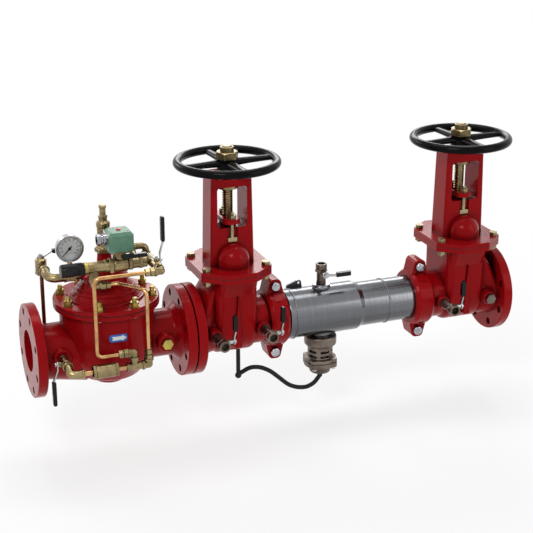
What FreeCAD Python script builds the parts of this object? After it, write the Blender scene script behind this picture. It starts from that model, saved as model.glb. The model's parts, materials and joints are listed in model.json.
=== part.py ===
import FreeCAD, Part

import math
import os

# The assembly lies along X in the direction of flow, with +Z up and the gauge side facing -Y.
# The origin is the centre of the inlet flange's face. All lengths are in millimetres.

# Clearances
running_gap = 0.05
soft_gap = 0.3
loose_gap = 0.5

# Pipe ends and flanges
bore_radius = 50.8
pipe_radius = 57.15
flange_radius = 114.3
flange_thickness = 24.0
bolt_circle_radius = 95.25
flange_hole_count = 8
flange_hole_radius = 9.5
flange_gasket_thickness = 3.0
flange_hub_radius = 72.0
flange_hub_length = 16.0
groove_distance = 15.88
groove_width = 8.74
groove_radius = 55.04

# Control valve
control_length = 390.0
control_run_radius = 59.0
bowl_radius = 114.0
bowl_bottom = 82.0
foot_radius = 37.0
foot_bottom = 100.0
barrel_start = (24.0, 66.0, -7.0)
barrel_finish = (130.0, 75.5, -15.5)
inlet_run_radius = 56.0
well_radius = 48.0
well_bottom = 60.0
body_lip_radius = 128.0
body_lip_top = 107.0
body_lip_thickness = 11.0
upper_chamber_radius = 101.0
upper_chamber_floor = 38.0
throat_radius = 44.0
throat_wall = 8.0
seat_ring_height = 12.0
diaphragm_thickness = 2.0
cover_flange_thickness = 9.0
cover_stud_circle = 111.0
cover_stud_count = 8
cover_stud_turn = 22.5
cover_stud_radius = 5.0
cover_stud_length = 45.0
cover_stud_bury = 6.0
cover_washer_radius = 11.5
cover_washer_thickness = 2.0
cover_nut_flats = 18.0
cover_nut_height = 10.0
cover_step_radius = 92.0
cover_cone_foot = 84.0
cover_cone_top_radius = 56.0
cover_dome_height = 82.0
cover_wall = 9.0
cover_neck_radius = 16.5
cover_neck_height = 118.0
main_stem_radius = 9.0
main_lift = 22.0
disc_radius = 50.0
disc_thickness = 14.0
disc_neck_radius = 26.0
disc_plate_rise = 18.0
disc_plate_thickness = 5.0
washer_radius = 66.0
washer_thickness = 6.0
stem_foot_depth = 20.0
stem_nut_flats = 32.0
stem_nut_height = 10.0
main_spring_radius = 22.0
main_spring_wire = 3.0
main_spring_turns = 4
indicator_rod_radius = 2.5
indicator_rod_top = 272.0
indicator_radius = 15.0
indicator_top = 305.0
port_boss_radius = 22.0
inlet_port_x = 66.0
outlet_port_x = 322.0
port_face = 78.0
port_socket_depth = 16.0
port_way_radius = 4.0

# Gate valves
gate_face_to_stem = 114.3
gate_run_radius = 61.0
gate_chamber_half_length = 54.0
gate_chamber_half_width = 70.0
gate_flare_half_length = 53.5
gate_shoulder_half_width = 52.0
gate_shoulder_top = 138.0
gate_shoulder_bottom = 60.0
gate_flare_half_width = 88.0
gate_lip_top = 153.0
gate_lip_thickness = 11.0
bonnet_gasket_thickness = 1.5
octagon_half_x = 91.0
octagon_half_y = 111.0
octagon_corner_x = 37.0
octagon_corner_y = 67.0
bonnet_bolt_x = 76.0
bonnet_bolt_y = 62.0
bonnet_bolt_radius = 6.0
bonnet_bolt_flats = 19.0
bonnet_head_height = 9.0
bonnet_nut_height = 10.0
wedge_radius = 56.5
wedge_top = 50.0
wedge_half_foot = 17.0
wedge_half_head = 22.0
seat_land_radius = 57.0
pocket_half_length = 27.0
gate_lift = 108.0
dome_half_x = 40.0
dome_half_y = 78.0
dome_top = 222.0
yoke_half_foot = 57.0
yoke_half_head = 52.0
yoke_half_depth = 36.0
yoke_top = 395.0
recess_half_width = 13.0
recess_start = 31.0
recess_bottom = 223.0
window_half = 38.0
window_bottom = 261.0
window_top = 363.0
gate_stem_radius = 13.0
stem_head_radius = 19.0
stem_head_depth = 16.0
stem_head_height = 10.0
gate_stem_top = 458.0
packing_radius = 21.0
packing_floor = 235.0
packing_height = 14.0
gland_plate_bottom = 271.0
gland_plate_thickness = 12.0
gland_half_y = 46.0
gland_half_x = 22.0
gland_bolt_y = 31.5
gland_bolt_radius = 5.0
gland_bolt_top = 297.0
gland_head_bottom = 225.0
gland_head_thickness = 11.0
gland_head_half = 11.5
gland_nut_flats = 18.0
gland_nut_height = 9.0
sleeve_radius = 20.0
sleeve_collar_radius = 27.0
sleeve_collar_thickness = 10.0
sleeve_key_radius = 17.0
sleeve_top = 456.0
wheel_radius = 131.5
wheel_tube_radius = 10.5
wheel_height = 417.5
wheel_hub_radius = 25.0
wheel_hub_bottom = 400.0
wheel_hub_top = 427.0
wheel_spoke_count = 4
wheel_spoke_turn = 5.0
wheel_nut_flats = 50.0
wheel_nut_height = 17.0
flange_side_port = 61.0
groove_side_port = 68.0
cock_boss_radius = 17.0
flange_side_reach = 88.0
groove_side_reach = 76.0

# Couplings and check housing
coupling_gap = 3.0
coupling_radius = 75.0
coupling_half_width = 25.5
coupling_key_half = 3.8
coupling_chamber_radius = 68.5
coupling_pad_top = 107.0
coupling_pad_half_foot = 25.0
coupling_pad_half = 14.0
coupling_pad_depth = 24.0
coupling_bolt_height = 88.5
coupling_bolt_radius = 7.0
coupling_head_radius = 13.0
coupling_head_height = 10.0
coupling_nut_flats = 22.0
coupling_nut_height = 12.0
housing_length = 402.4
housing_wall = 3.0
barrel_radius = 63.5
barrel_end = 221.5
barrel_taper = 14.0
weld_distances = (47.0, 307.0)
housing_end_bore = 52.0
zone_port_x = 134.4
lug_top = 77.0
lug_y = 26.0
lug_thickness = 5.0
lug_hole_radius = 3.2
zone_boss_radius = 22.0
zone_boss_top = 69.0
check_seat_width = 12.0
check_seat_bore = 38.0
check_1_distance = 50.0
check_2_distance = 262.0
clapper_radius = 42.0
clapper_thickness = 7.0
clapper_pin_height = 45.5
clapper_pin_radius = 2.5
clapper_pin_half = 14.0
clapper_pin_offset = 4.5

# Relief valve under the housing
relief_neck_radius = 24.0
relief_ring_radius = 42.0
relief_top = 68.0
relief_ring_bottom = 94.0
relief_waist_radius = 33.0
relief_body_bottom = 139.0
relief_cover_bottom = 176.0
relief_diaphragm_thickness = 2.0
relief_bore = 16.0
relief_chamber_radius = 24.0
relief_window_top = 106.0
relief_window_bottom = 126.0
relief_window_count = 6
relief_bolt_circle = 37.0
relief_bolt_count = 4
relief_bolt_turn = 45.0
relief_bolt_flats = 11.0
relief_head_height = 6.0
relief_flange_thickness = 12.0
relief_spring_radius = 14.0
relief_spring_wire = 1.5
relief_spring_turns = 3
relief_slot_height = 7.0
relief_bolt_radius = 3.5
relief_ear_radius = 10.0
relief_lift = 8.0
relief_disc_radius = 20.0

# Sensing line
drop_pipe_x = 24.7
drop_pipe_radius = 5.5
drop_pipe_top = 66.0
elbow_height = 149.5
elbow_radius = 8.5
hose_radius = 5.75
hose_end_height = 185.0
relief_knee_radius = 7.0
hose_route = [(541.0, -143.0), (564.0, -132.5), (591.0, -136.0), (619.0, -151.0), (647.0, -177.0),
              (670.0, -199.0), (695.0, -211.0), (722.0, -214.5), (743.0, -206.0), (755.0, -191.5)]

# Test cocks
cock_length = 62.0
top_cock_length = 56.0
cock_radius = 11.5
cock_bore = 4.5
cock_hex_flats = 24.0
cock_pivot = 34.0
cock_stem_radius = 5.0
cock_lever_offset = 30.0
cock_lever_thickness = 3.0
cock_stem_start = 10.5
cock_lever_length = 67.0
cock_grip_length = 41.0
cock_lever_half = 4.2
cock_lever_rise = 4.0
cock_eye_radius = 8.5
cock_nut_flats = 9.0
lever_nut_height = 4.0
grip_swell = 1.2

# Pilot line, gauge line and the line below them
tube_radius = 4.8
tube_bend = 15.0
tube_insert = 8.0
fitting_radius = 9.0
elbow_reach = 15.0
elbow_radius_brass = 10.0
bead_rise = 2.6
bead_length = 5.0
union_length = 22.0
union_flats = 19.0
plug_flats = 24.0
plug_height = 8.0
small_valve_length = 40.0
small_valve_half = 12.5
small_valve_boss = 6.0
small_boss_radius = 6.0
small_stem_radius = 3.5
loop_depth = 152.0
loop_tube_a_x = 131.0
loop_tube_b_x = 254.0
supply_valve_y = -106.0
strainer_drop = 12.0
strainer_x = 119.0
strainer_length = 60.0
stub_1_x = 98.0
tee_x = 200.0
tee_length = 38.0
branch_height = 20.0
pilot_depth = 75.0
pilot_height = 217.0
pilot_cap_x = 71.0
pilot_cap_radius = 15.0
pilot_cap_groove_count = 12
pilot_ring_x = 127.0
regulator_branch_x = 150.0
branch_radius = 11.5
arch_elbow_reach = 10.0
pedestal_radius = 16.0
tube_b_straight = 18.0
solenoid_body_x = 197.0
tube_b_height = 170.0
junction_x = 290.0
pilot_valve_y = -116.0
arch_y = -27.0
arch_height = 240.0
gauge_x = 113.0
gauge_y = 12.0
gauge_height = 243.0
gauge_radius = 34.0
gauge_depth = 24.0
gauge_rest_turn = -135.0
gauge_tee_flats = 22.0
gauge_branch_flats = 17.0
gauge_branch_height = 18.0
pointer_reach = 25.0
pointer_tail = 8.0
gauge_line_height = 170.0
gauge_tee_x = 102.0
cover_boss_x = 136.0
cover_boss_radius = 13.0
riser_x = 60.0
riser_y = 93.0
riser_top = 155.0
riser_radius = 4.8
riser_valve_rise = 26.0
solenoid_x = 214.0
solenoid_y = 68.0
solenoid_bottom = 254.0
solenoid_top = 300.0
solenoid_half = 30.0
pilot_grip_length = 62.0
pilot_lever_thickness = 3.0
pilot_lever_half = 3.4
pilot_eye_radius = 7.0
pilot_nut_flats = 8.0

# Places that follow from the sizes above
control_x = control_length / 2
seat_level = upper_chamber_floor + seat_ring_height
washer_level = seat_level + disc_thickness + disc_plate_rise + diaphragm_thickness + washer_thickness
diaphragm_top = body_lip_top + diaphragm_thickness
cover_top = diaphragm_top + cover_flange_thickness
cover_neck_bottom = diaphragm_top + cover_dome_height
cover_neck_top = diaphragm_top + cover_neck_height
stem_1_x = control_length + flange_gasket_thickness + gate_face_to_stem
housing_x = stem_1_x + gate_face_to_stem + coupling_gap
stem_2_x = housing_x + housing_length + coupling_gap + gate_face_to_stem
outlet_x = stem_2_x + gate_face_to_stem
gates = {"1": (stem_1_x, -1), "2": (stem_2_x, 1)}
coupling_centres = {"1": housing_x - coupling_gap / 2, "2": housing_x + housing_length + coupling_gap / 2}
bonnet_bottom = gate_lip_top + bonnet_gasket_thickness
bonnet_flange_top = bonnet_bottom + gate_lip_thickness
relief_x = housing_x + zone_port_x

UP = FreeCAD.Vector(0, 0, 1)
DOWN = FreeCAD.Vector(0, 0, -1)
ALONG = FreeCAD.Vector(1, 0, 0)
BACK_ALONG = FreeCAD.Vector(-1, 0, 0)
FRONT = FreeCAD.Vector(0, -1, 0)
REAR = FreeCAD.Vector(0, 1, 0)

PLANES = {
    "plan": lambda a, b, level: FreeCAD.Vector(a, b, level),
    "front": lambda a, b, level: FreeCAD.Vector(a, level, b),
    "side": lambda a, b, level: FreeCAD.Vector(level, a, b),
}
NORMALS = {"plan": UP, "front": REAR, "side": ALONG}


def at(x, y, z):
    return FreeCAD.Vector(x, y, z)


def fuse(shapes):
    """Join overlapping shapes into one clean solid."""
    whole = shapes[0]
    for shape in shapes[1:]:
        whole = whole.fuse(shape)
    return whole.removeSplitter()


def cut(shape, tools):
    """Take every tool away from a shape."""
    for tool in tools:
        shape = shape.cut(tool)
    return shape


def outline(corners, plane, level):
    """A closed wire through (a, b, rounding) corners, with a tangent arc at each rounded one."""
    place = PLANES[plane]
    points = [place(a, b, level) for a, b, rounding in corners]
    legs = []
    for index, (a, b, rounding) in enumerate(corners):
        corner = points[index]
        before = points[index - 1] - corner
        after = points[(index + 1) % len(points)] - corner
        half_turn = before.getAngle(after) / 2
        before.normalize()
        after.normalize()
        setback = rounding / math.tan(half_turn)
        start = corner + before * setback
        end = corner + after * setback
        middle = corner
        if rounding > 0:
            bisector = (before + after).normalize()
            middle = corner + bisector * (rounding / math.sin(half_turn) - rounding)
        legs.append((start, middle, end, rounding))
    edges = []
    for index, (start, middle, end, rounding) in enumerate(legs):
        if rounding > 0:
            edges.append(Part.Arc(start, middle, end).toShape())
        following = legs[(index + 1) % len(legs)][0]
        if end.distanceToPoint(following) > 1e-6:
            edges.append(Part.LineSegment(end, following).toShape())
    return Part.Wire(edges)


def slab(corners, plane, low, high):
    """A plate with the outline given, from one level to another along the plane's normal."""
    face = Part.Face(outline(corners, plane, low))
    return face.extrude(NORMALS[plane] * (high - low))


def rectangle(half_a, half_b, rounding, centre_a=0, centre_b=0):
    """Corners of a rounded rectangle about a centre."""
    return [(centre_a - half_a, centre_b - half_b, rounding), (centre_a + half_a, centre_b - half_b,
                                                               rounding),
            (centre_a + half_a, centre_b + half_b, rounding), (centre_a - half_a, centre_b + half_b,
                                                               rounding)]


def lathe(corners, origin, axis):
    """A turned solid from (radius, height, rounding) corners, standing on origin along axis."""
    face = Part.Face(outline(corners, "front", 0))
    solid = face.revolve(at(0, 0, 0), UP, 360)
    solid.Placement = FreeCAD.Placement(origin, FreeCAD.Rotation(UP, axis))
    return solid


def rod(radius, origin, axis, length):
    """A plain round bar that starts at origin."""
    return Part.makeCylinder(radius, length, origin, axis)


def tube(outer, inner, origin, axis, length):
    """A round bar with a round hole through it."""
    drill = rod(inner, origin - axis, axis, length + 2)
    return rod(outer, origin, axis, length).cut(drill)


def hexagon(flats, origin, axis, length):
    """A six-sided bar, flats across its flats, that starts at origin."""
    reach = flats / math.sqrt(3)
    corners = []
    for side in range(6):
        angle = math.radians(60 * side)
        corners.append((reach * math.cos(angle), reach * math.sin(angle), 0))
    bar = slab(corners, "plan", 0, length)
    bar.Placement = FreeCAD.Placement(origin, FreeCAD.Rotation(UP, axis))
    return bar


def around(count, radius, first_turn):
    """Points of a bolt circle as pairs of offsets."""
    turns = [math.radians(first_turn + 360.0 * index / count) for index in range(count)]
    return [(radius * math.cos(turn), radius * math.sin(turn)) for turn in turns]


def tube_run(points, radii, outer):
    """A round tube along straight runs joined by tangent arcs of the radii given."""
    edges = []
    start = points[0]
    for index, radius in enumerate(radii):
        corner = points[index + 1]
        before = points[index] - corner
        after = points[index + 2] - corner
        half_turn = before.getAngle(after) / 2
        before.normalize()
        after.normalize()
        setback = radius / math.tan(half_turn)
        bisector = (before + after).normalize()
        middle = corner + bisector * (radius / math.sin(half_turn) - radius)
        arc_start = corner + before * setback
        arc_end = corner + after * setback
        edges.append(Part.LineSegment(start, arc_start).toShape())
        edges.append(Part.Arc(arc_start, middle, arc_end).toShape())
        start = arc_end
    edges.append(Part.LineSegment(start, points[-1]).toShape())
    path = Part.Wire(edges)
    direction = points[1] - points[0]
    section = Part.Wire(Part.Circle(points[0], direction, outer).toShape())
    return path.makePipeShell([section], True, True)


def natural_radii(points):
    """The largest arc that each corner of a hose route allows, with a little straight left."""
    radii = []
    for before, corner, after in zip(points, points[1:], points[2:]):
        half_turn = (before - corner).getAngle(after - corner) / 2
        shorter = min(before.distanceToPoint(corner), after.distanceToPoint(corner))
        radii.append(0.45 * shorter * math.tan(half_turn))
    return radii


def rounded_ends(shape, axis_index, levels, radius):
    """Round the edges of a casting that lie wholly in one of the end planes."""
    edges = []
    for edge in shape.Edges:
        values = [(vertex.X, vertex.Y, vertex.Z)[axis_index] for vertex in edge.Vertexes]
        for level in levels:
            if all(abs(value - level) < 1e-4 for value in values):
                edges.append(edge)
    return shape.makeFillet(radius, edges)


def bolt_holes(face_x, inward):
    """The drills for a flange's bolt circle, straddling the vertical centre line."""
    first_turn = 180.0 / flange_hole_count
    drills = []
    for y, z in around(flange_hole_count, bolt_circle_radius, first_turn):
        drills.append(rod(flange_hole_radius, at(face_x - inward, y, z), ALONG * inward,
                          flange_thickness + 2))
    return drills


def flange_corners(run_radius):
    """The turned outline of a flange and its hub, from its face inwards."""
    hub_end = flange_thickness + flange_hub_length
    return [(0, 0, 0), (flange_radius, 0, 1.5), (flange_radius, flange_thickness, 3),
            (flange_hub_radius, flange_thickness, 6), (run_radius, hub_end, 14)]


def make_control_body():
    """Globe casting: inlet passage below the seat, bowl above it, outlet passage on the far side."""
    inlet = lathe(flange_corners(inlet_run_radius) + [(inlet_run_radius, control_x, 0), (0, control_x, 0)],
                  at(0, 0, 0), ALONG)
    outlet = lathe(flange_corners(control_run_radius) + [(control_run_radius, control_x, 0),
                                                         (0, control_x, 0)],
                   at(control_length, 0, 0), BACK_ALONG)
    rings = []
    for x, radius, centre_z in (barrel_start, barrel_finish):
        rings.append(Part.Wire(Part.Circle(at(x, 0, centre_z), ALONG, radius).toShape()))
    barrel = Part.makeLoft(rings, True, True)
    lip_bottom = body_lip_top - body_lip_thickness
    bowl = lathe([(0, -foot_bottom, 0), (foot_radius, -foot_bottom, 5), (foot_radius + 3, -bowl_bottom, 3),
                  (72, -bowl_bottom, 30), (bowl_radius, -30, 50),
                  (bowl_radius, lip_bottom, 6), (body_lip_radius, lip_bottom, 3),
                  (body_lip_radius, body_lip_top, 1), (0, body_lip_top, 0)], at(control_x, 0, 0), UP)
    ports = []
    for port_x in (inlet_port_x, outlet_port_x):
        boss = lathe([(0, 0, 0), (port_boss_radius + 4, 0, 0), (port_boss_radius, port_face, 4),
                      (0, port_face, 0)],
                     at(port_x, 0, 0), FRONT)
        ports.append(boss)
    ports.append(lathe([(0, 0, 0), (port_boss_radius, 0, 0), (port_boss_radius - 4, port_face, 4),
                        (0, port_face, 0)], at(riser_x, 0, 0), REAR))
    outer = fuse([inlet, outlet, bowl, barrel] + ports)
    inner_bowl = rod(upper_chamber_radius, at(control_x, 0, upper_chamber_floor), UP, body_lip_top)
    throat = rod(throat_radius, at(control_x, 0, -20), UP, body_lip_top)
    inlet_way = passage(0, control_x - throat_radius * 0.3, -14, 52, 36)
    inlet_well = lathe([(0, -well_bottom, 0), (well_radius, -well_bottom, 26), (well_radius, 20, 12),
                        (0, 20, 0)],
                       at(control_x, 0, 0), UP)
    outlet_way = passage(control_length, control_x + throat_radius + throat_wall + 26, 0, 50, 44)
    drain_top = upper_chamber_floor + 1
    well = lathe([(0, -46, 0), (80, -46, 24), (upper_chamber_radius, -16, 20),
                  (upper_chamber_radius, drain_top, 0),
                  (0, drain_top, 0)], at(control_x, 0, 0), UP)
    tower = rod(well_radius + throat_wall, at(control_x, 0, -foot_bottom), UP, 2 * foot_bottom)
    right_half = Part.makeBox(200, 150, 300, at(control_x + 22, -75, -foot_bottom))
    drain = well.cut(tower).common(right_half)
    body = cut(outer, [inner_bowl, throat, inlet_well, drain, inlet_way, outlet_way])
    body = cut(body, bolt_holes(0, 1) + bolt_holes(control_length, -1))
    sockets = []
    for port_x in (inlet_port_x, outlet_port_x):
        sockets.append(rod(fitting_radius, at(port_x, -port_face - 1, 0), REAR, port_socket_depth))
        sockets.append(rod(port_way_radius, at(port_x, -port_face - 1, 0), REAR, port_face - 20))
    recess = rod(throat_radius + throat_wall, at(control_x, 0, upper_chamber_floor - 4), UP, 8)
    studs = []
    for x, y in around(cover_stud_count, cover_stud_circle, cover_stud_turn):
        studs.append(rod(cover_stud_radius, at(control_x + x, y, lip_bottom - cover_stud_bury), UP, 30))
    return cut(body, sockets + [recess] + studs)


def passage(start_x, end_x, end_z, end_half_y, end_half_z):
    """A water way that flattens from the round flange bore to an oval by the seat."""
    bore = Part.Wire(Part.Circle(at(start_x, 0, 0), ALONG, bore_radius).toShape())
    oval = Part.Ellipse(at(end_x, end_half_y, end_z), at(end_x, 0, end_z + end_half_z), at(end_x, 0, end_z))
    return Part.makeLoft([bore, Part.Wire(oval.toShape())], True, True)


def make_seat_ring():
    """Screwed seat ring standing on the partition."""
    floor = upper_chamber_floor - 4
    outer = throat_radius + throat_wall - running_gap
    height = 4 + seat_ring_height
    return lathe([(throat_radius - 4, 0, 0), (outer, 0, 0), (outer, height * 0.6, 2),
                  (throat_radius + 1, height, 0.5), (throat_radius - 4, height, 0)],
                  at(control_x, 0, floor), UP)


def make_control_cover():
    """Stepped bonnet with ring steps, a cone, a dome and a neck for the indicator."""
    top = cover_flange_thickness
    foot = cover_dome_height - 34
    outer = [(0, 0, 0), (body_lip_radius, 0, 1), (body_lip_radius, top, 3), (cover_step_radius + 2, top, 2),
             (cover_step_radius, top + 5, 2), (cover_cone_foot, top + 5, 2),
             (cover_cone_foot - 6, top + 12, 4),
             (cover_cone_top_radius + 6, foot - 6, 6), (cover_cone_top_radius, foot, 4),
             (cover_cone_top_radius, foot + 12, 8), (34, cover_dome_height, 10),
             (cover_neck_radius + 3, cover_dome_height + 4, 6), (cover_neck_radius, cover_neck_height, 2),
             (0, cover_neck_height, 0)]
    cone_slope = cover_cone_top_radius - cover_wall
    inner = [(0, 0, 0), (upper_chamber_radius, 0, 0), (cover_cone_foot - cover_wall - 4, top + 4, 8),
             (cone_slope, foot, 8), (26, cover_dome_height - cover_wall, 8),
             (0, cover_dome_height - cover_wall, 0)]
    origin = at(control_x, 0, diaphragm_top)
    boss = rod(cover_boss_radius, at(cover_boss_x, gauge_y, gauge_line_height), ALONG,
               control_x - cover_boss_x)
    cover = fuse([lathe(outer, origin, UP), boss])
    hollow = lathe(inner, origin, UP)
    bearing = rod(main_stem_radius + running_gap, origin, UP, cover_neck_height - 4)
    rod_way = rod(indicator_rod_radius + 1, origin, UP, cover_neck_height + 10)
    holes = []
    for x, y in around(cover_stud_count, cover_stud_circle, cover_stud_turn):
        holes.append(rod(cover_stud_radius + 1, at(control_x + x, y, diaphragm_top - 5), UP, 20))
    return cut(cover, [hollow, bearing, rod_way] + holes)


def make_main_diaphragm():
    """Rubber diaphragm, clamped at its rim and dished down to the disc."""
    clamp = body_lip_top - (seat_level + disc_thickness + disc_plate_rise)
    half = diaphragm_thickness - 2 * running_gap
    ring = [(main_stem_radius + soft_gap, -clamp, 0), (washer_radius + 6, -clamp, 6),
            (upper_chamber_radius - 6, 0.0, 6), (body_lip_radius - 1, 0.0, 0),
            (body_lip_radius - 1, half, 0),
            (upper_chamber_radius - 8, half, 6), (washer_radius + 3, half - clamp, 6),
            (main_stem_radius + soft_gap, half - clamp, 0)]
    origin = at(control_x, 0, body_lip_top + running_gap)
    holes = []
    for x, y in around(cover_stud_count, cover_stud_circle, cover_stud_turn):
        holes.append(rod(cover_stud_radius + 1, at(control_x + x, y, body_lip_top - 5), UP, 20))
    return cut(lathe(ring, origin, UP), holes)


def make_main_disc():
    """Disc retainer under the diaphragm and its pressure washer above it."""
    seat = seat_level + soft_gap
    under = seat_level + disc_thickness + disc_plate_rise - soft_gap
    over = under + diaphragm_thickness + 2 * soft_gap
    height = under - seat
    plate = height - disc_plate_thickness
    bore = main_stem_radius + running_gap
    retainer = lathe([(bore, 0, 0), (disc_radius, 0, 1), (disc_radius, disc_thickness, 3),
                      (disc_neck_radius, disc_thickness, 6), (disc_neck_radius, plate, 6),
                      (washer_radius, plate, 2),
                      (washer_radius, height, 0.5), (bore, height, 0)], at(control_x, 0, seat), UP)
    washer = lathe([(bore, 0, 0), (washer_radius, 0, 0), (washer_radius, washer_thickness / 2, 2),
                    (washer_radius / 2 + 1, washer_thickness, 3), (bore, washer_thickness, 0)],
                   at(control_x, 0, over), UP)
    return [retainer, washer]


def make_main_stem():
    """Stem with the guide below, the nut above the washer and the indicator rod on top."""
    foot_level = seat_level + soft_gap - stem_foot_depth
    washer_top = washer_level + 2 * soft_gap
    stem = rod(main_stem_radius, at(control_x, 0, foot_level), UP, cover_neck_bottom + 6 - foot_level)
    nut = hexagon(stem_nut_flats, at(control_x, 0, washer_top), UP, stem_nut_height)
    foot = rod(main_stem_radius + 8, at(control_x, 0, foot_level), UP, stem_foot_depth - running_gap)
    indicator = rod(indicator_rod_radius, at(control_x, 0, cover_neck_bottom), UP,
                    indicator_rod_top - cover_neck_bottom)
    return fuse([stem, nut, foot, indicator])


def coil(coil_radius, wire_radius, bottom, top, turns, centre_x):
    """A helical compression spring, standing between two heights."""
    height = top - bottom - 2 * wire_radius
    path = Part.makeHelix(height / turns, height, coil_radius)
    section = Part.Wire(Part.Circle(at(coil_radius, 0, 0), REAR, wire_radius).toShape())
    spring = Part.Wire(path).makePipeShell([section], True, True)
    spring.translate(at(centre_x, 0, bottom + wire_radius))
    return spring


def make_main_spring():
    """Closing spring between the washer and the inside of the dome."""
    bottom = washer_level + 4 * soft_gap
    top = diaphragm_top + cover_dome_height - cover_wall - soft_gap
    return coil(main_spring_radius, main_spring_wire, bottom, top, main_spring_turns, control_x)


def make_indicator():
    """Indicator tube on the neck, with a window slot and a bleed fitting on top."""
    bottom = cover_neck_top
    height = indicator_top - bottom
    tube_body = lathe([(0, 0, 0), (indicator_radius + 4, 0, 1), (indicator_radius + 4, 14, 2),
                       (indicator_radius, 16, 1), (indicator_radius, height - 16, 1),
                       (indicator_radius + 1.5, height - 15, 1), (indicator_radius + 1.5, height - 4, 2),
                       (10, height, 2), (10, height + 12, 1), (7.5, height + 14, 1), (7.5, height + 30, 1),
                       (9, height + 31, 1), (9, height + 38, 2), (0, height + 38, 0)],
                      at(control_x, 0, bottom), UP)
    well = rod(8.0, at(control_x, 0, bottom - 1), UP, height - 5)
    window = slab(rectangle(4.0, 22, 3.9, control_x, bottom + 40), "front", -30, 30)
    return cut(tube_body, [well, window])


def make_cover_studs():
    """Studs, washers and nuts of the cover."""
    pieces = []
    lip_bottom = body_lip_top - body_lip_thickness
    for x, y in around(cover_stud_count, cover_stud_circle, cover_stud_turn):
        x = control_x + x
        foot = at(x, y, lip_bottom - cover_stud_bury + running_gap)
        pieces.append(rod(cover_stud_radius - running_gap, foot, UP, cover_stud_length))
        pieces.append(tube(cover_washer_radius, cover_stud_radius, at(x, y, cover_top), UP,
                           cover_washer_thickness))
        nut = hexagon(cover_nut_flats, at(x, y, cover_top + cover_washer_thickness), UP, cover_nut_height)
        pieces.append(nut.cut(rod(cover_stud_radius, at(x, y, cover_top), UP, 20)))
    return pieces


def make_gate_body(stem_x, side):
    """Gate valve casting with a flange on one side and a grooved end on the other."""
    length = 2 * gate_face_to_stem
    inward = ALONG * -side
    groove_far = length - groove_distance - groove_width
    run = lathe(flange_corners(gate_run_radius) +
                [(gate_run_radius, groove_far, 3), (groove_radius, groove_far, 1),
                 (groove_radius, length - groove_distance, 1), (pipe_radius, length - groove_distance, 1),
                 (pipe_radius, length, 1), (0, length, 0)], at(stem_x + side * gate_face_to_stem, 0, 0),
                 inward)
    wide = gate_chamber_half_width
    chamber = slab([(-wide, -wide, wide - 1), (wide, -wide, wide - 1), (wide, gate_lip_top, 0),
                    (-wide, gate_lip_top, 0)], "side",
                   stem_x - gate_chamber_half_length, stem_x + gate_chamber_half_length)
    chamber = rounded_ends(chamber, 0, (stem_x - gate_chamber_half_length,
                                        stem_x + gate_chamber_half_length), 16)
    flare_low = outline(rectangle(gate_chamber_half_length - 4, wide - 2, 14, stem_x, 0), "plan", 88)
    flare_high = outline(rectangle(gate_flare_half_length, gate_flare_half_width, 20, stem_x, 0), "plan",
                         gate_lip_top - gate_lip_thickness + 1)
    flare = Part.makeLoft([flare_low, flare_high], True, True)
    lip = slab(octagon(stem_x), "plan", gate_lip_top - gate_lip_thickness, gate_lip_top)
    bosses = []
    for port_x, reach in cock_ports(stem_x, side):
        bosses.append(lathe([(0, 0, 0), (cock_boss_radius + 6, 0, 0), (cock_boss_radius, reach, 4),
                             (0, reach, 0)],
                            at(port_x, 0, 0), FRONT))
    ribs = []
    for rib_y in (-gate_chamber_half_width + 6, gate_chamber_half_width - 6):
        ribs.append(slab([(stem_x - 9, -40, 3), (stem_x + 9, -40, 3), (stem_x, 96, 0)], "front",
                         rib_y - 12, rib_y + 12))
    foot = rod(15, at(drop_x(stem_x, side), 0, -drop_pipe_top - 3), UP, 40)
    outer = fuse([run, chamber, flare, lip, gate_shoulder(stem_x, side)] + bosses + ribs + [foot])
    return cut(outer, gate_cavities(stem_x, side))


def gate_shoulder(stem_x, side):
    """The casting between the flange's back and the chamber, from round to a tall rounded box."""
    half_round = flange_hub_radius + 1
    near = outline(rectangle(half_round, half_round, half_round - 3), "side",
                   stem_x + side * (gate_face_to_stem - flange_thickness + 2))
    half_height = (gate_shoulder_top + gate_shoulder_bottom) / 2
    far = outline(rectangle(gate_shoulder_half_width, half_height, 34, 0,
                            half_height - gate_shoulder_bottom), "side",
                  stem_x + side * (gate_chamber_half_length - 4))
    return Part.makeLoft([near, far], True, True)


def drop_x(stem_x, side):
    """Where the sensing line leaves the gate body, towards the grooved end."""
    return stem_x - side * drop_pipe_x


def octagon(stem_x):
    """Plan of the bonnet joint."""
    corners = []
    quarter = [(octagon_half_x, octagon_corner_y), (octagon_corner_x, octagon_half_y)]
    for x, y in quarter + [(-a, b) for a, b in reversed(quarter)]:
        corners.append((stem_x + x, y, 9))
    for x, y in [(-a, -b) for a, b in quarter] + [(a, -b) for a, b in reversed(quarter)]:
        corners.append((stem_x + x, y, 9))
    return corners


def bonnet_bolt_places(stem_x):
    """Where the four bonnet bolts of a gate valve stand, as pairs of x and y."""
    return [(stem_x + x, y) for x in (-bonnet_bolt_x, bonnet_bolt_x) for y in (-bonnet_bolt_y,
                                                                               bonnet_bolt_y)]


def cock_ports(stem_x, side):
    """Each front port of a gate body: where it is along the pipe and how far it reaches."""
    return [(stem_x + side * flange_side_port, flange_side_reach),
            (stem_x - side * groove_side_port, groove_side_reach)]


def wedge_shape(stem_x, room):
    """The wedge with its tapered faces, grown by some room on each face."""
    radius = wedge_radius + room
    half_foot = wedge_half_foot + room
    half_head = wedge_half_head + room
    tapered = slab([(stem_x - half_foot, -radius, 0), (stem_x + half_foot, -radius, 0),
                    (stem_x + half_head, wedge_top + room, 0), (stem_x - half_head, wedge_top + room, 0)],
                   "front", -radius, radius)
    shield = slab([(-radius, -radius, radius - 1), (radius, -radius, radius - 1),
                   (radius, wedge_top + room, 4),
                   (-radius, wedge_top + room, 4)], "side", stem_x - 40, stem_x + 40)
    return tapered.common(shield)


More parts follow.
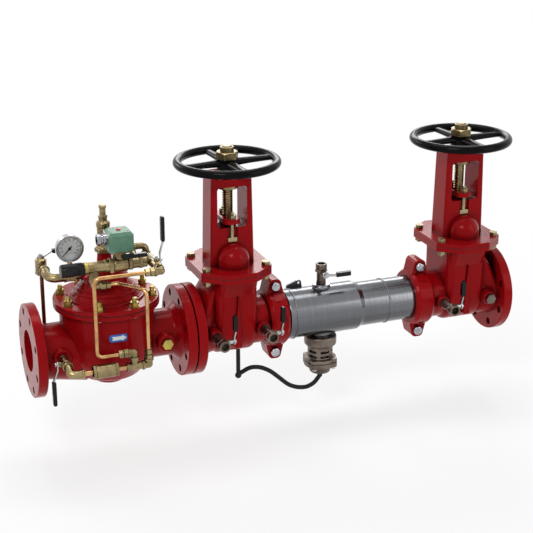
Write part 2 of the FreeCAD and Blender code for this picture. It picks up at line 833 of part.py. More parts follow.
def gate_cavities(stem_x, side):
    """Everything that is hollow in a gate body."""
    start = stem_x - gate_face_to_stem
    pocket_half = wedge_radius + 3
    pocket = slab([(-pocket_half, -pocket_half, pocket_half - 1),
                   (pocket_half, -pocket_half, pocket_half - 1),
                   (pocket_half, gate_lip_top + 1, 0), (-pocket_half, gate_lip_top + 1, 0)], "side",
                  stem_x - pocket_half_length, stem_x + pocket_half_length)
    lands = []
    for land in (-1, 1):
        origin = at(stem_x + land * (pocket_half_length + 1), 0, 0)
        lands.append(rod(seat_land_radius, origin, ALONG * -land, pocket_half_length - 10))
    wedge_way = wedge_shape(stem_x, soft_gap)
    half_way = wedge_half_head + soft_gap
    lift_way = Part.makeBox(2 * half_way, 2 * pocket_half, gate_lip_top - wedge_top,
                            at(stem_x - half_way, -pocket_half, wedge_top))
    pocket = cut(pocket, [cut(land, [wedge_way, lift_way]) for land in lands])
    bore = rod(bore_radius, at(start - 1, 0, 0), ALONG, 2 * gate_face_to_stem + 2)
    face_x = stem_x + side * gate_face_to_stem
    drills = bolt_holes(face_x, -side)
    for x, y in bonnet_bolt_places(stem_x):
        drills.append(rod(bonnet_bolt_radius + loose_gap, at(x, y, 120), UP, 40))
    for port_x, reach in cock_ports(stem_x, side):
        drills.append(rod(fitting_radius, at(port_x, -reach - 1, 0), REAR, port_socket_depth))
        drills.append(rod(cock_bore, at(port_x, -reach - 1, 0), REAR, reach - 20))
    drills.append(rod(drop_pipe_radius, at(drop_x(stem_x, side), 0, -drop_pipe_top - 4), UP, 10))
    return [pocket, bore] + drills


def bonnet_dome(stem_x):
    """Round-topped chest over the wedge: a wall with half-round ends under a lying capsule."""
    straight = dome_half_y - dome_half_x
    crown = dome_top - dome_half_x
    capsule = [rod(dome_half_x, at(stem_x, -straight, crown), REAR, 2 * straight)]
    for face in (-1, 1):
        capsule.append(Part.makeSphere(dome_half_x, at(stem_x, face * straight, crown)))
    above = Part.makeBox(4 * dome_half_x, 4 * dome_half_y, dome_half_x * 2,
                         at(stem_x - 2 * dome_half_x, -2 * dome_half_y, crown))
    wall = slab(rectangle(dome_half_x, dome_half_y, dome_half_x, stem_x, 0), "plan", bonnet_bottom, crown)
    return [wall, fuse(capsule).common(above)]


def make_bonnet(stem_x):
    """Bonnet and yoke in one casting: joint flange, dome for the wedge, and the window frame."""
    flange = slab(octagon(stem_x), "plan", bonnet_bottom, bonnet_flange_top)
    foot = outline(rectangle(yoke_half_foot, yoke_half_depth, 7, stem_x, 0), "plan", bonnet_bottom + 2)
    head = outline(rectangle(yoke_half_head, yoke_half_depth - 1, 7, stem_x, 0), "plan", yoke_top - 6)
    tower = Part.makeLoft([foot, head], True, True)
    cap = lathe([(0, 0, 0), (yoke_half_head + 4, 0, 2), (yoke_half_head + 4, 6, 2), (30, 8, 3), (0, 8, 0)],
                at(stem_x, 0, yoke_top - 10), UP)
    cap_half = yoke_half_depth + 2
    cap = cap.common(Part.makeBox(200, 2 * cap_half, 60, at(stem_x - 100, -cap_half, yoke_top - 20)))
    outer = fuse([flange, tower, cap] + bonnet_dome(stem_x))
    half_height = (window_top - window_bottom) / 2
    window = slab(rectangle(window_half, half_height, 8, stem_x, window_bottom + half_height), "front",
                  -90, 90)
    cavity_half = wedge_radius + 3
    cavity_top = gate_lift + wedge_top + 14
    cavity = slab([(-cavity_half, bonnet_bottom - 1, 0), (cavity_half, bonnet_bottom - 1, 0),
                   (cavity_half, cavity_top, 12), (-cavity_half, cavity_top, 12)], "side",
                  stem_x - pocket_half_length, stem_x + pocket_half_length)
    centre = at(stem_x, 0, 0)
    stem_way = rod(gate_stem_radius + running_gap, centre + UP * bonnet_bottom, UP, 200)
    box = rod(packing_radius, centre + UP * packing_floor, UP, 40)
    sleeve_way = rod(sleeve_radius + running_gap, centre + UP * (window_top - 2), UP, 60)
    tools = [window, cavity, stem_way, box, sleeve_way]
    for x, y in bonnet_bolt_places(stem_x):
        tools.append(rod(bonnet_bolt_radius + loose_gap, at(x, y, 140), UP, 40))
    head_top = gland_head_bottom + gland_head_thickness
    for face in (-1, 1):
        near = face * (gland_bolt_y - gland_bolt_radius - 1)
        far = face * (yoke_half_depth + 20)
        low, high = sorted((near, far))
        slot = gland_bolt_radius + loose_gap
        tools.append(Part.makeBox(2 * slot, high - low, 60, at(stem_x - slot, low, gland_head_bottom - 1)))
        pocket = gland_head_half + loose_gap
        tools.append(Part.makeBox(2 * pocket, high - low, head_top - gland_head_bottom + 1,
                                  at(stem_x - pocket, low, gland_head_bottom - 1)))
        recess = slab(rectangle(recess_half_width, (window_bottom + 2 - recess_bottom) / 2, 3, stem_x,
                                (window_bottom + 2 + recess_bottom) / 2), "front",
                      min(face * recess_start, far), max(face * recess_start, far))
        tools.append(recess)
    return cut(outer, tools)


def make_gate_stem(stem_x):
    """Rising stem with its T head in the wedge."""
    neck = stem_head_height + 2
    join = stem_head_depth + 4
    head = lathe([(0, 0, 0), (stem_head_radius, 0, 1), (stem_head_radius, stem_head_height, 1),
                  (gate_stem_radius, neck, 0), (gate_stem_radius, join, 0), (0, join, 0)],
                 at(stem_x, 0, wedge_top - stem_head_depth), UP)
    bar = lathe([(0, 0, 0), (gate_stem_radius, 0, 0), (gate_stem_radius, gate_stem_top - wedge_top, 2.5),
                 (0, gate_stem_top - wedge_top, 0)], at(stem_x, 0, wedge_top), UP)
    return fuse([head, bar])


def make_wedge(stem_x):
    """Rubber-faced wedge with the slot for the stem's T head."""
    wedge = wedge_shape(stem_x, 0)
    slot = gate_stem_radius + loose_gap
    head = stem_head_radius + loose_gap
    head_bottom = wedge_top - stem_head_depth - loose_gap
    neck_way = Part.makeBox(100, 2 * slot, 40, at(stem_x - 50, -slot, wedge_top - 20))
    head_way = Part.makeBox(100, 2 * head, stem_head_height + 5, at(stem_x - 50, -head, head_bottom))
    return cut(wedge, [neck_way, head_way])


def make_sleeve(stem_x):
    """Brass yoke sleeve that carries the wheel and drives the stem's thread."""
    collar_bottom = window_top - sleeve_collar_thickness
    bore = gate_stem_radius + running_gap
    height = sleeve_top - collar_bottom
    shoulder = wheel_hub_bottom - collar_bottom
    collar_top = sleeve_collar_thickness - soft_gap
    return lathe([(bore, 0, 0), (sleeve_collar_radius, 0, 2), (sleeve_collar_radius, collar_top, 1),
                  (sleeve_radius, collar_top, 0), (sleeve_radius, shoulder, 0),
                  (sleeve_key_radius, shoulder, 0), (sleeve_key_radius, height, 2), (bore, height, 0)],
                 at(stem_x, 0, collar_bottom), UP)


def make_handwheel(stem_x):
    """Cast wheel: round rim, oval spokes and hub."""
    rim = Part.makeTorus(wheel_radius - wheel_tube_radius, wheel_tube_radius, at(stem_x, 0, wheel_height),
                         UP)
    hub_height = wheel_hub_top - wheel_hub_bottom
    hub = lathe([(0, 0, 0), (wheel_hub_radius, 0, 2), (wheel_hub_radius, 16, 5),
                 (wheel_hub_radius - 1, hub_height, 1),
                 (0, hub_height, 0)], at(stem_x, 0, wheel_hub_bottom), UP)
    parts = [rim, hub]
    for index in range(wheel_spoke_count):
        turn = wheel_spoke_turn + 360.0 * index / wheel_spoke_count
        sections = []
        for reach, half_wide, half_high in ((12, 14, 10), (wheel_radius * 0.55, 11.5, 7.5),
                                            (wheel_radius - wheel_tube_radius, 12.5, 7)):
            oval = Part.Ellipse(at(reach, half_wide, wheel_height - 2),
                                at(reach, 0, wheel_height - 2 + half_high),
                                at(reach, 0, wheel_height - 2))
            sections.append(Part.Wire(oval.toShape()))
        spoke = Part.makeLoft(sections, True, False)
        spoke.rotate(at(0, 0, 0), UP, turn)
        spoke.translate(at(stem_x, 0, 0))
        parts.append(spoke)
    bore = rod(sleeve_key_radius + running_gap, at(stem_x, 0, wheel_hub_bottom - 1), UP, 40)
    return fuse(parts).cut(bore)


def make_wheel_nut(stem_x):
    """Nut that holds the wheel on the sleeve."""
    nut = hexagon(wheel_nut_flats, at(stem_x, 0, wheel_hub_top), UP, wheel_nut_height)
    wide = wheel_nut_flats / 2 + 3.5
    crown = lathe([(0, 0, 0), (wide, 0, 0), (wide, wheel_nut_height - 3, 0),
                   (wheel_nut_flats / 2 - 1, wheel_nut_height, 0), (0, wheel_nut_height, 0)],
                  at(stem_x, 0, wheel_hub_top), UP)
    return nut.common(crown).cut(rod(sleeve_key_radius + running_gap, at(stem_x, 0, wheel_hub_top - 1), UP,
                                     30))


def make_gland(stem_x):
    """Oval follower plate and its sleeve, pressing on the packing."""
    rounding = gland_half_x - 1
    plate = slab([(stem_x - gland_half_x, -gland_half_y, rounding),
                  (stem_x + gland_half_x, -gland_half_y, rounding),
                  (stem_x + gland_half_x, gland_half_y, rounding),
                  (stem_x - gland_half_x, gland_half_y, rounding)],
                 "plan", gland_plate_bottom, gland_plate_bottom + gland_plate_thickness)
    neck = rod(packing_radius - soft_gap, at(stem_x, 0, packing_floor + packing_height), UP,
               gland_plate_bottom - packing_floor - packing_height + 1)
    tools = [rod(gate_stem_radius + soft_gap, at(stem_x, 0, packing_floor), UP, 80)]
    for y in (-gland_bolt_y, gland_bolt_y):
        tools.append(rod(gland_bolt_radius + soft_gap, at(stem_x, y, gland_plate_bottom - 5), UP, 40))
    return cut(fuse([plate, neck]), tools)


def make_gland_bolts():
    """T-headed gland bolts and their nuts."""
    pieces = []
    plate_top = gland_plate_bottom + gland_plate_thickness
    for stem_x, side in gates.values():
        for face in (-1, 1):
            y = face * gland_bolt_y
            head = Part.makeBox(2 * gland_head_half, 2 * gland_bolt_radius, gland_head_thickness - soft_gap,
                                at(stem_x - gland_head_half, y - gland_bolt_radius, gland_head_bottom))
            shank = rod(gland_bolt_radius, at(stem_x, y, gland_head_bottom + 5), UP,
                        gland_bolt_top - gland_head_bottom - 5)
            pieces.append(fuse([head, shank]))
            nut = hexagon(gland_nut_flats, at(stem_x, y, plate_top), UP, gland_nut_height)
            pieces.append(nut.cut(rod(gland_bolt_radius + running_gap, at(stem_x, y, plate_top - 1), UP,
                                      20)))
    return pieces


def make_packings():
    """Packing rings round both stems."""
    pieces = []
    for stem_x, side in gates.values():
        pieces.append(tube(packing_radius - soft_gap, gate_stem_radius + soft_gap,
                           at(stem_x, 0, packing_floor + soft_gap), UP, packing_height - 2 * soft_gap))
    return pieces


def make_gaskets():
    """The flat gaskets: one between the flanges and one under each bonnet."""
    pieces = [tube(flange_radius - 29, bore_radius + 1, at(control_length, 0, 0), ALONG,
                   flange_gasket_thickness)]
    for stem_x, side in gates.values():
        sheet = slab(octagon(stem_x), "plan", gate_lip_top, bonnet_bottom)
        hole = slab(rectangle(pocket_half_length + 2, wedge_radius + 5, 8, stem_x, 0), "plan",
                    gate_lip_top - 1, bonnet_bottom + 1)
        drills = [hole]
        for x, y in bonnet_bolt_places(stem_x):
            drills.append(rod(bonnet_bolt_radius + loose_gap, at(x, y, gate_lip_top - 5), UP, 20))
        pieces.append(cut(sheet, drills))
    return pieces


def make_bonnet_bolts():
    """Bonnet bolts with the heads on top and the nuts below."""
    pieces = []
    lip_bottom = gate_lip_top - gate_lip_thickness
    for stem_x, side in gates.values():
        for x, y in bonnet_bolt_places(stem_x):
            head = hexagon(bonnet_bolt_flats, at(x, y, bonnet_flange_top), UP, bonnet_head_height)
            end = lip_bottom - bonnet_nut_height - 4
            shank = rod(bonnet_bolt_radius, at(x, y, end), UP, bonnet_flange_top - end + 2)
            pieces.append(fuse([head, shank]))
            nut = hexagon(bonnet_bolt_flats, at(x, y, lip_bottom - bonnet_nut_height), UP,
                          bonnet_nut_height)
            pieces.append(nut.cut(rod(bonnet_bolt_radius + running_gap, at(x, y, lip_bottom - 20), UP, 40)))
    return pieces


def make_coupling_halves(centre_x):
    """Two housing halves that meet at the pipe's mid plane, with bolt pads above and below."""
    width = coupling_half_width
    key_low = coupling_gap / 2 + groove_distance + groove_width / 2 - coupling_key_half
    key_high = key_low + 2 * coupling_key_half
    key_radius = groove_radius + soft_gap
    land = pipe_radius + loose_gap
    chamber = coupling_chamber_radius
    section = [(key_radius, -key_high, 0), (land + 6, -width, 0), (coupling_radius - 5, -width, 3),
               (coupling_radius, -width + 8, 5), (coupling_radius, width - 8, 5),
               (coupling_radius - 5, width, 3),
               (land + 6, width, 0), (key_radius, key_high, 0), (key_radius, key_low, 0),
               (land, key_low, 0),
               (land, key_low - 1, 0), (chamber, key_low - 3, 2), (chamber, 3 - key_low, 2),
               (land, 1 - key_low, 0),
               (land, -key_low, 0), (key_radius, -key_low, 0)]
    ring = lathe(section, at(centre_x, 0, 0), ALONG)
    halves = []
    for face in (-1, 1):
        split = soft_gap / 2
        keep = Part.makeBox(200, 200, 400, at(centre_x - 100, split if face > 0 else -200 - split, -200))
        half = ring.common(keep)
        for level in (-1, 1):
            pad = slab([(centre_x - coupling_pad_half_foot, 62, 4),
                        (centre_x + coupling_pad_half_foot, 62, 4),
                        (centre_x + coupling_pad_half, coupling_pad_top, 12),
                        (centre_x - coupling_pad_half, coupling_pad_top, 12)], "front", split,
                        coupling_pad_depth)
            pad = pad.cut(rod(chamber + 2, at(centre_x - 100, 0, 0), ALONG, 200))
            web = slab([(0, 68, 0), (50, 58, 0), (coupling_pad_depth, 75, 4), (0, 75, 0)], "side",
                       centre_x - 8, centre_x + 8)
            web = web.cut(rod(chamber + 2, at(centre_x - 100, 0, 0), ALONG, 200))
            web = web.common(Part.makeBox(60, 60, 60, at(centre_x - 30, split, 50)))
            lug = fuse([pad, web])
            if face < 0:
                lug = lug.mirror(at(0, 0, 0), REAR)
            if level < 0:
                lug = lug.mirror(at(0, 0, 0), UP)
            half = half.fuse(lug)
        half = half.removeSplitter()
        for level in (-1, 1):
            half = half.cut(rod(coupling_bolt_radius + loose_gap,
                                at(centre_x, -60, level * coupling_bolt_height), REAR, 120))
        halves.append(half)
    return halves


def make_coupling_gaskets():
    """Rubber rings inside the couplings, with a hollow lip against the pipe ends."""
    pieces = []
    edge = coupling_gap / 2 + groove_distance - 5
    for centre_x in coupling_centres.values():
        section = [(pipe_radius + soft_gap, -edge, 0), (coupling_chamber_radius - soft_gap - 2, -edge, 2),
                   (coupling_chamber_radius - soft_gap - 2, edge, 2), (pipe_radius + soft_gap, edge, 0),
                   (pipe_radius + soft_gap, 5, 0), (pipe_radius + 5, 4, 0), (pipe_radius + 5, -4, 0),
                   (pipe_radius + soft_gap, -5, 0)]
        pieces.append(lathe(section, at(centre_x, 0, 0), ALONG))
    return pieces


def make_coupling_bolts():
    """Oval-neck track bolts with round heads at the front and nuts behind."""
    pieces = []
    for centre_x in coupling_centres.values():
        for level in (-1, 1):
            z = level * coupling_bolt_height
            head = lathe([(0, 0, 0), (coupling_head_radius, 0, 1),
                          (coupling_head_radius - 1, coupling_head_height - 2, 5),
                          (0, coupling_head_height, 0)],
                         at(centre_x, -coupling_pad_depth, z), FRONT)
            shank = rod(coupling_bolt_radius, at(centre_x, -coupling_pad_depth - 1, z), REAR,
                        2 * coupling_pad_depth + 18)
            pieces.append(fuse([head, shank]))
            nut = hexagon(coupling_nut_flats, at(centre_x, coupling_pad_depth, z), REAR,
                          coupling_nut_height)
            pieces.append(nut.cut(rod(coupling_bolt_radius + running_gap, at(centre_x, 0, z), REAR, 60)))
    return pieces


def make_housing():
    """Stainless check housing: wide barrel, taper, narrow barrel, grooved ends, ports and lifting lug."""
    far = groove_distance + groove_width
    taper_end = barrel_end + barrel_taper
    length = housing_length
    outer = [(0, 0, 0), (pipe_radius, 0, 1), (pipe_radius, groove_distance, 1),
             (groove_radius, groove_distance, 1),
             (groove_radius, far, 1), (pipe_radius, far, 1), (pipe_radius, far + 1.5, 1),
             (barrel_radius, far + 5, 3),
             (barrel_radius, barrel_end, 3), (pipe_radius, taper_end, 3), (pipe_radius, length - far, 1),
             (groove_radius, length - far, 1), (groove_radius, length - groove_distance, 1),
             (pipe_radius, length - groove_distance, 1), (pipe_radius, length, 1), (0, length, 0)]
    inner_barrel = barrel_radius - housing_wall
    inner = [(0, -1, 0), (housing_end_bore, -1, 0), (housing_end_bore, far + 8, 0),
             (inner_barrel, far + 12, 2),
             (inner_barrel, barrel_end - 4, 3), (housing_end_bore, taper_end, 3),
             (housing_end_bore, length + 1, 0),
             (0, length + 1, 0)]
    beads = []
    for distance, radius in zip(weld_distances, (barrel_radius, pipe_radius)):
        beads.append(lathe([(radius - 1, -3, 0), (radius + 1.6, -2, 1), (radius + 1.6, 2, 1),
                            (radius - 1, 3, 0)],
                           at(housing_x + distance, 0, 0), ALONG))
    boss = lathe([(0, 0, 0), (zone_boss_radius, 0, 0), (zone_boss_radius, zone_boss_top, 3),
                  (0, zone_boss_top, 0)],
                 at(relief_x, 0, 0), UP)
    stub = rod(relief_neck_radius + 4, at(relief_x, 0, 0), DOWN, relief_top)
    lug = slab([(housing_x + 48, 46, 0), (housing_x + 94, 46, 0), (housing_x + 89, lug_top, 5),
                (housing_x + 78, lug_top, 5), (housing_x + 50, 66, 3)], "front", lug_y,
                lug_y + lug_thickness)
    lug = lug.cut(rod(lug_hole_radius, at(housing_x + 83, lug_y - 1, lug_top - 7), REAR, lug_thickness + 2))
    outside = fuse([lathe(outer, at(housing_x, 0, 0), ALONG)] + beads + [boss, stub, lug])
    tools = [lathe(inner, at(housing_x, 0, 0), ALONG), rod(relief_bore + 2, at(relief_x, 0, 0), DOWN,
                                                           relief_top + 1),
             rod(fitting_radius, at(relief_x, 0, zone_boss_top - port_socket_depth), UP, 30),
             rod(cock_bore, at(relief_x, 0, 0), UP, zone_boss_top)]
    return cut(outside, tools)


def check_places():
    """Each check's seat plane, outer radius and name."""
    wide = barrel_radius - housing_wall
    return {"1": (housing_x + check_1_distance, wide), "2": (housing_x + check_2_distance,
                                                             housing_end_bore)}


def make_check_seats():
    """Seat rings with the ears that hold each clapper's pin."""
    pieces = []
    for seat_x, radius in check_places().values():
        ring = tube(radius - soft_gap, check_seat_bore, at(seat_x - check_seat_width, 0, 0), ALONG,
                    check_seat_width)
        ears = []
        for face in (-1, 1):
            ear = slab([(seat_x - 3, 41, 0), (seat_x + 9, 41, 3), (seat_x + 9, 49.5, 3),
                        (seat_x - 3, 49.5, 0)],
                       "front", min(face * 8, face * 12), max(face * 8, face * 12))
            ears.append(ear)
        ring = fuse([ring] + ears)
        pin_way = rod(clapper_pin_radius + running_gap, at(seat_x + clapper_pin_offset, -20,
                                                           clapper_pin_height), REAR, 40)
        pieces.append(ring.cut(pin_way))
    return pieces


def make_clapper(seat_x):
    """Clapper disc with its rubber face, hanging from a pin at the top."""
    disc = lathe([(0, soft_gap, 0), (clapper_radius, soft_gap, 1), (clapper_radius, clapper_thickness, 2),
                  (18, clapper_thickness + 4, 4), (0, clapper_thickness + 4, 0)], at(seat_x, 0, 0), ALONG)
    disc = disc.cut(Part.makeBox(40, 100, 20, at(seat_x - 1, -50, 37)))
    arm = slab([(seat_x + 1, 20, 0), (seat_x + 9, 20, 2), (seat_x + 8, 49, 3), (seat_x + 1, 49, 3)],
               "front", -7.5, 7.5)
    pin_end = at(seat_x + clapper_pin_offset, -clapper_pin_half, clapper_pin_height)
    pin = rod(clapper_pin_radius, pin_end, REAR, 2 * clapper_pin_half)
    return fuse([disc, arm, pin])


def make_relief_body():
    """Relief valve casting with its clamp ring, discharge windows and bolt ears."""
    body = lathe([(0, relief_top + running_gap, 0), (relief_ring_radius, relief_top + running_gap, 5),
                  (relief_ring_radius, relief_ring_bottom, 7),
                  (relief_waist_radius, relief_ring_bottom + 3, 4),
                  (relief_waist_radius, relief_window_bottom + 2, 2),
                  (relief_ring_radius, relief_window_bottom + 5, 2),
                  (relief_ring_radius, relief_body_bottom, 1), (0, relief_body_bottom, 0)],
                  at(relief_x, 0, 0), DOWN)
    ears = relief_ears(relief_window_bottom + 4, relief_body_bottom)
    body = fuse([body] + ears)
    seat_level = relief_window_top - 4
    tools = [rod(relief_bore, at(relief_x, 0, -relief_top + 1), DOWN, seat_level - relief_top + 2),
             rod(relief_chamber_radius, at(relief_x, 0, -seat_level), DOWN, 60)]
    half_height = relief_slot_height / 2
    for level in (relief_window_top + half_height, relief_window_bottom - half_height):
        for index in range(relief_window_count):
            opening = slab(rectangle(12, half_height, half_height - 0.5, 0, -level), "front", 10, 60)
            opening.rotate(at(0, 0, 0), UP, 360.0 * index / relief_window_count)
            opening.translate(at(relief_x, 0, 0))
            tools.append(opening)
    return cut(body, tools + relief_drills())


def relief_ears(top, bottom):
    """Bolt ears round the relief valve between two depths."""
    ears = []
    for x, y in around(relief_bolt_count, relief_bolt_circle, relief_bolt_turn):
        ears.append(rod(relief_ear_radius, at(relief_x + x, y, -top), DOWN, bottom - top))
    return ears


def relief_drills():
    """Bolt holes through the relief valve's ears."""
    drills = []
    for x, y in around(relief_bolt_count, relief_bolt_circle, relief_bolt_turn):
        drills.append(rod(relief_bolt_radius + soft_gap, at(relief_x + x, y, -relief_window_bottom), DOWN,
                          60))
    return drills


def make_relief_cover():
    """Bottom cover of the relief valve with the sensing port."""
    top = relief_body_bottom + relief_diaphragm_thickness
    flange_end = top + relief_flange_thickness
    cover = lathe([(0, top, 0), (relief_ring_radius, top, 1), (relief_ring_radius, flange_end, 2),
                   (30, flange_end, 0), (27, relief_cover_bottom - 4, 5), (11, relief_cover_bottom, 1),
                   (0, relief_cover_bottom, 0)], at(relief_x, 0, 0), DOWN)
    cover = fuse([cover] + relief_ears(top, flange_end))
    chamber = rod(relief_chamber_radius - 2, at(relief_x, 0, -top + 1), DOWN, 17)
    port = rod(3.0, at(relief_x, 0, -top), DOWN, 60)
    return cut(cover, [chamber, port] + relief_drills())


def make_relief_diaphragm():
    """Rubber disc between the relief valve's body and cover."""
    rim = relief_ring_radius - 1
    sheet = rod(rim, at(relief_x, 0, -relief_body_bottom - running_gap), DOWN,
                relief_diaphragm_thickness - 2 * running_gap)
    return cut(sheet, relief_drills())


def make_relief_disc():
    """Relief disc, its stem and the plate that rests on the diaphragm."""
    seat_level = relief_window_top - 4
    top = seat_level - 4
    height = relief_body_bottom - soft_gap - top
    disc_level = seat_level + soft_gap - top
    return lathe([(0, 0, 0), (relief_bore - 1, 0, 1), (relief_bore - 1, 4, 1),
                  (relief_disc_radius, disc_level, 0),
                  (relief_disc_radius, 10, 1), (5, 12, 2), (5, height - 4, 2), (20, height - 4, 1),
                  (20, height, 1), (0, height, 0)], at(relief_x, 0, -top), DOWN)


def make_relief_bolts():
    """Cap screws that hold the relief valve's cover."""
    pieces = []
    bottom = relief_body_bottom + relief_diaphragm_thickness + relief_flange_thickness
    for x, y in around(relief_bolt_count, relief_bolt_circle, relief_bolt_turn):
        head = hexagon(relief_bolt_flats, at(relief_x + x, y, -bottom), DOWN, relief_head_height)
        shank = rod(relief_bolt_radius, at(relief_x + x, y, -bottom - 1), UP,
                    bottom - relief_window_bottom - 4)
        pieces.append(fuse([head, shank]))
    return pieces


def make_relief_spring():
    """Opening spring between the seat and the plate."""
    return coil(relief_spring_radius, relief_spring_wire, -relief_body_bottom + 5, -relief_window_top - 6,
                relief_spring_turns, relief_x)


def make_sensing_hose():
    """Rubber hose from the drop pipe's elbow to the relief valve's cover."""
    points = [at(x, 0, z) for x, z in hose_route]
    return tube_run(points, natural_radii(points), hose_radius)


def make_sensing_fittings():
    """Drop pipe with its ball elbow, and the elbow under the relief valve."""
    pipe_x = drop_x(stem_1_x, -1)
    pipe = rod(drop_pipe_radius - running_gap, at(pipe_x, 0, -elbow_height), UP,
               elbow_height - drop_pipe_top + 4)
    ball = Part.makeSphere(elbow_radius, at(pipe_x, 0, -elbow_height))
    mouth = at(hose_route[0][0], 0, hose_route[0][1])
    first = at(hose_route[1][0], 0, hose_route[1][1]) - mouth
    barb = rod(hose_radius, mouth, first.normalize() * -1, 8)
    left = fuse([pipe, ball, barb])
    last = at(hose_route[-1][0], 0, hose_route[-1][1])
    heading = (last - at(hose_route[-2][0], 0, hose_route[-2][1])).normalize()
    knee = at(relief_x, 0, -hose_end_height)
    right = fuse([Part.makeSphere(relief_knee_radius, knee), rod(hose_radius, last, heading, 5),
                  rod(5.5, knee, UP, hose_end_height - relief_cover_bottom)])
    return [left, right]


def cock_places():
    """Each test cock: its boss face, flow direction, lever side and lever direction."""
    places = {}
    ports = cock_ports(stem_1_x, -1)
    places["1"] = (at(ports[0][0], -ports[0][1], 0), FRONT, ALONG, UP)
    places["2"] = (at(ports[1][0], -ports[1][1], 0), FRONT, ALONG, UP)
    places["3"] = (at(relief_x, 0, zone_boss_top), UP, FRONT, ALONG)
    ports = cock_ports(stem_2_x, 1)
    places["4"] = (at(ports[1][0], -ports[1][1], 0), FRONT, ALONG, UP)
    return places


def make_cock_body(face, flow, side, length):
    """Ball test cock: threaded shank, hex, body, stem boss and open socket."""
    shank = rod(fitting_radius - running_gap, face, flow * -1, 12)
    collar = hexagon(cock_hex_flats, face, flow, 10)
    body = lathe([(0, 9, 0), (cock_radius, 9, 2), (cock_radius, length - 15, 1),
                  (cock_radius + 3, length - 14, 1),
                  (cock_radius + 3, length, 1.5), (0, length, 0)], face, flow)
    pivot = face + flow * cock_pivot
    boss = rod(7.5, pivot, side, cock_lever_offset - 12)
    outer = fuse([shank, collar, body, boss])
    drill = rod(cock_bore, face - flow * 13, flow, length + 14)
    socket = rod(cock_radius - 1.5, face + flow * (length - 12), flow, 13)
    stem_way = rod(cock_stem_radius + running_gap, pivot + side * 10, side, 40)
    return cut(outer, [drill, socket, stem_way])


def crank_lever(pivot, side, arm, length, grip_start, rise, half_width, thickness):
    """A flat steel lever that steps outwards to a moulded grip on its outer part."""
    cross = side.cross(arm)
    shape = [(-half_width, 0), (grip_start * 0.35, 0), (grip_start, rise), (grip_start + 10, rise),
             (grip_start + 10, rise + thickness), (grip_start - 1, rise + thickness),
             (grip_start * 0.35 - 1, thickness), (-half_width, thickness)]
    corners = [pivot + arm * reach + side * offset - cross * half_width for reach, offset in shape]
    bar = Part.Face(Part.makePolygon(corners + corners[:1])).extrude(cross * (2 * half_width))
    grip_half = half_width + grip_swell
    grip_low = rise + thickness / 2 - grip_half
    grip_shape = rectangle(length / 2 - grip_start / 2, grip_half, grip_half - 0.6,
                           (length + grip_start) / 2, grip_low + grip_half)
    grip = slab(grip_shape, "front", -grip_half, grip_half)
    grip.Placement = FreeCAD.Placement(pivot, FreeCAD.Rotation(arm, cross, side, "XYZ"))
    return [bar, grip]


def make_cock_bodies():
    """All four test cocks; the one on top of the housing is shorter."""
    bodies = []
    for name, (face, flow, side, arm) in cock_places().items():
        bodies.append(make_cock_body(face, flow, side, top_cock_length if name == "3" else cock_length))
    return bodies


def make_cock_lever(face, flow, side, arm):
    """Steel lever with its stem and a moulded grip on its outer half."""
    pivot = face + flow * cock_pivot
    plate_start = pivot + side * cock_lever_offset
    stem = rod(cock_stem_radius, pivot + side * cock_stem_start, side,
               cock_lever_offset - cock_stem_start + 1)
    eye = rod(cock_eye_radius, plate_start, side, cock_lever_thickness)
    nut = hexagon(cock_nut_flats, plate_start + side * cock_lever_thickness, side, lever_nut_height)
    bars = crank_lever(plate_start, side, arm, cock_lever_length, cock_lever_length - cock_grip_length,
                       cock_lever_rise, cock_lever_half, cock_lever_thickness)
    return fuse([stem, eye, nut] + bars)


def make_pilot_lever(pivot, side, arm, length, rise):
    """Small ball-valve lever: stem, eye, cranked bar and grip."""
    stem = rod(small_stem_radius, pivot - side * 6, side, 7)
    eye = rod(pilot_eye_radius, pivot, side, pilot_lever_thickness)
    nut = hexagon(pilot_nut_flats, pivot + side * pilot_lever_thickness, side, lever_nut_height)
    bars = crank_lever(pivot, side, arm, length, length - pilot_grip_length, rise, pilot_lever_half,
                       pilot_lever_thickness)
    return fuse([stem, eye, nut] + bars)


def pilot_valves():
    """Each ball valve of the small lines: centre, flow, lever side, lever arm, lever length and rise."""
    return {
        "supply": (at(inlet_port_x, supply_valve_y, 0), FRONT, BACK_ALONG, DOWN, 104, 10),
        "gauge": (at(riser_x, riser_y, riser_top + riser_valve_rise), UP, UP, ALONG, 90, 10),
        "pilot": (at(junction_x, pilot_valve_y, pilot_height), FRONT, UP, BACK_ALONG, 84, 12),
        "outlet": (at(junction_x, -pilot_depth, pilot_height), FRONT, ALONG, UP, 106, 8),
    }


def lever_pivot(centre, side):
    """Where a small lever's eye sits, just clear of its stem boss."""
    return centre + side * (small_valve_half + small_valve_boss + soft_gap)


def small_ball_valve(centre, flow, side):
    """Brass ball valve body about a centre, with hex ends and a stem boss."""
    length = small_valve_length
    start = centre - flow * (length / 2)
    half = small_valve_half
    middle = lathe([(0, 5, 0), (half - 3, 5, 0), (half, 9, 2), (half, length - 9, 2),
                    (half - 3, length - 5, 0),
                    (0, length - 5, 0)], start, flow)
    ends = [hexagon(half * 1.7, start, flow, 8), hexagon(half * 1.7, start + flow * (length - 8), flow, 8)]
    boss = rod(small_boss_radius, centre, side, half + small_valve_boss)
    stem_way = rod(small_stem_radius + running_gap, centre + side * (half + small_valve_boss - 7), side, 20)
    return fuse([middle, boss] + ends).cut(stem_way)


def union(start, direction, length, flats):
    """Compression fitting: hex body, neck and a smaller nut, bored for its tube."""
    body = hexagon(flats, start, direction, length * 0.45)
    neck = rod(flats / 2 - 2.5, start, direction, length * 0.6)
    nut = hexagon(flats - 2, start + direction * (length * 0.55), direction, length * 0.45)
    bore = rod(tube_radius + running_gap, start + direction * (length - tube_insert), direction,
               tube_insert + 1)
    return fuse([body, neck, nut]).cut(bore)


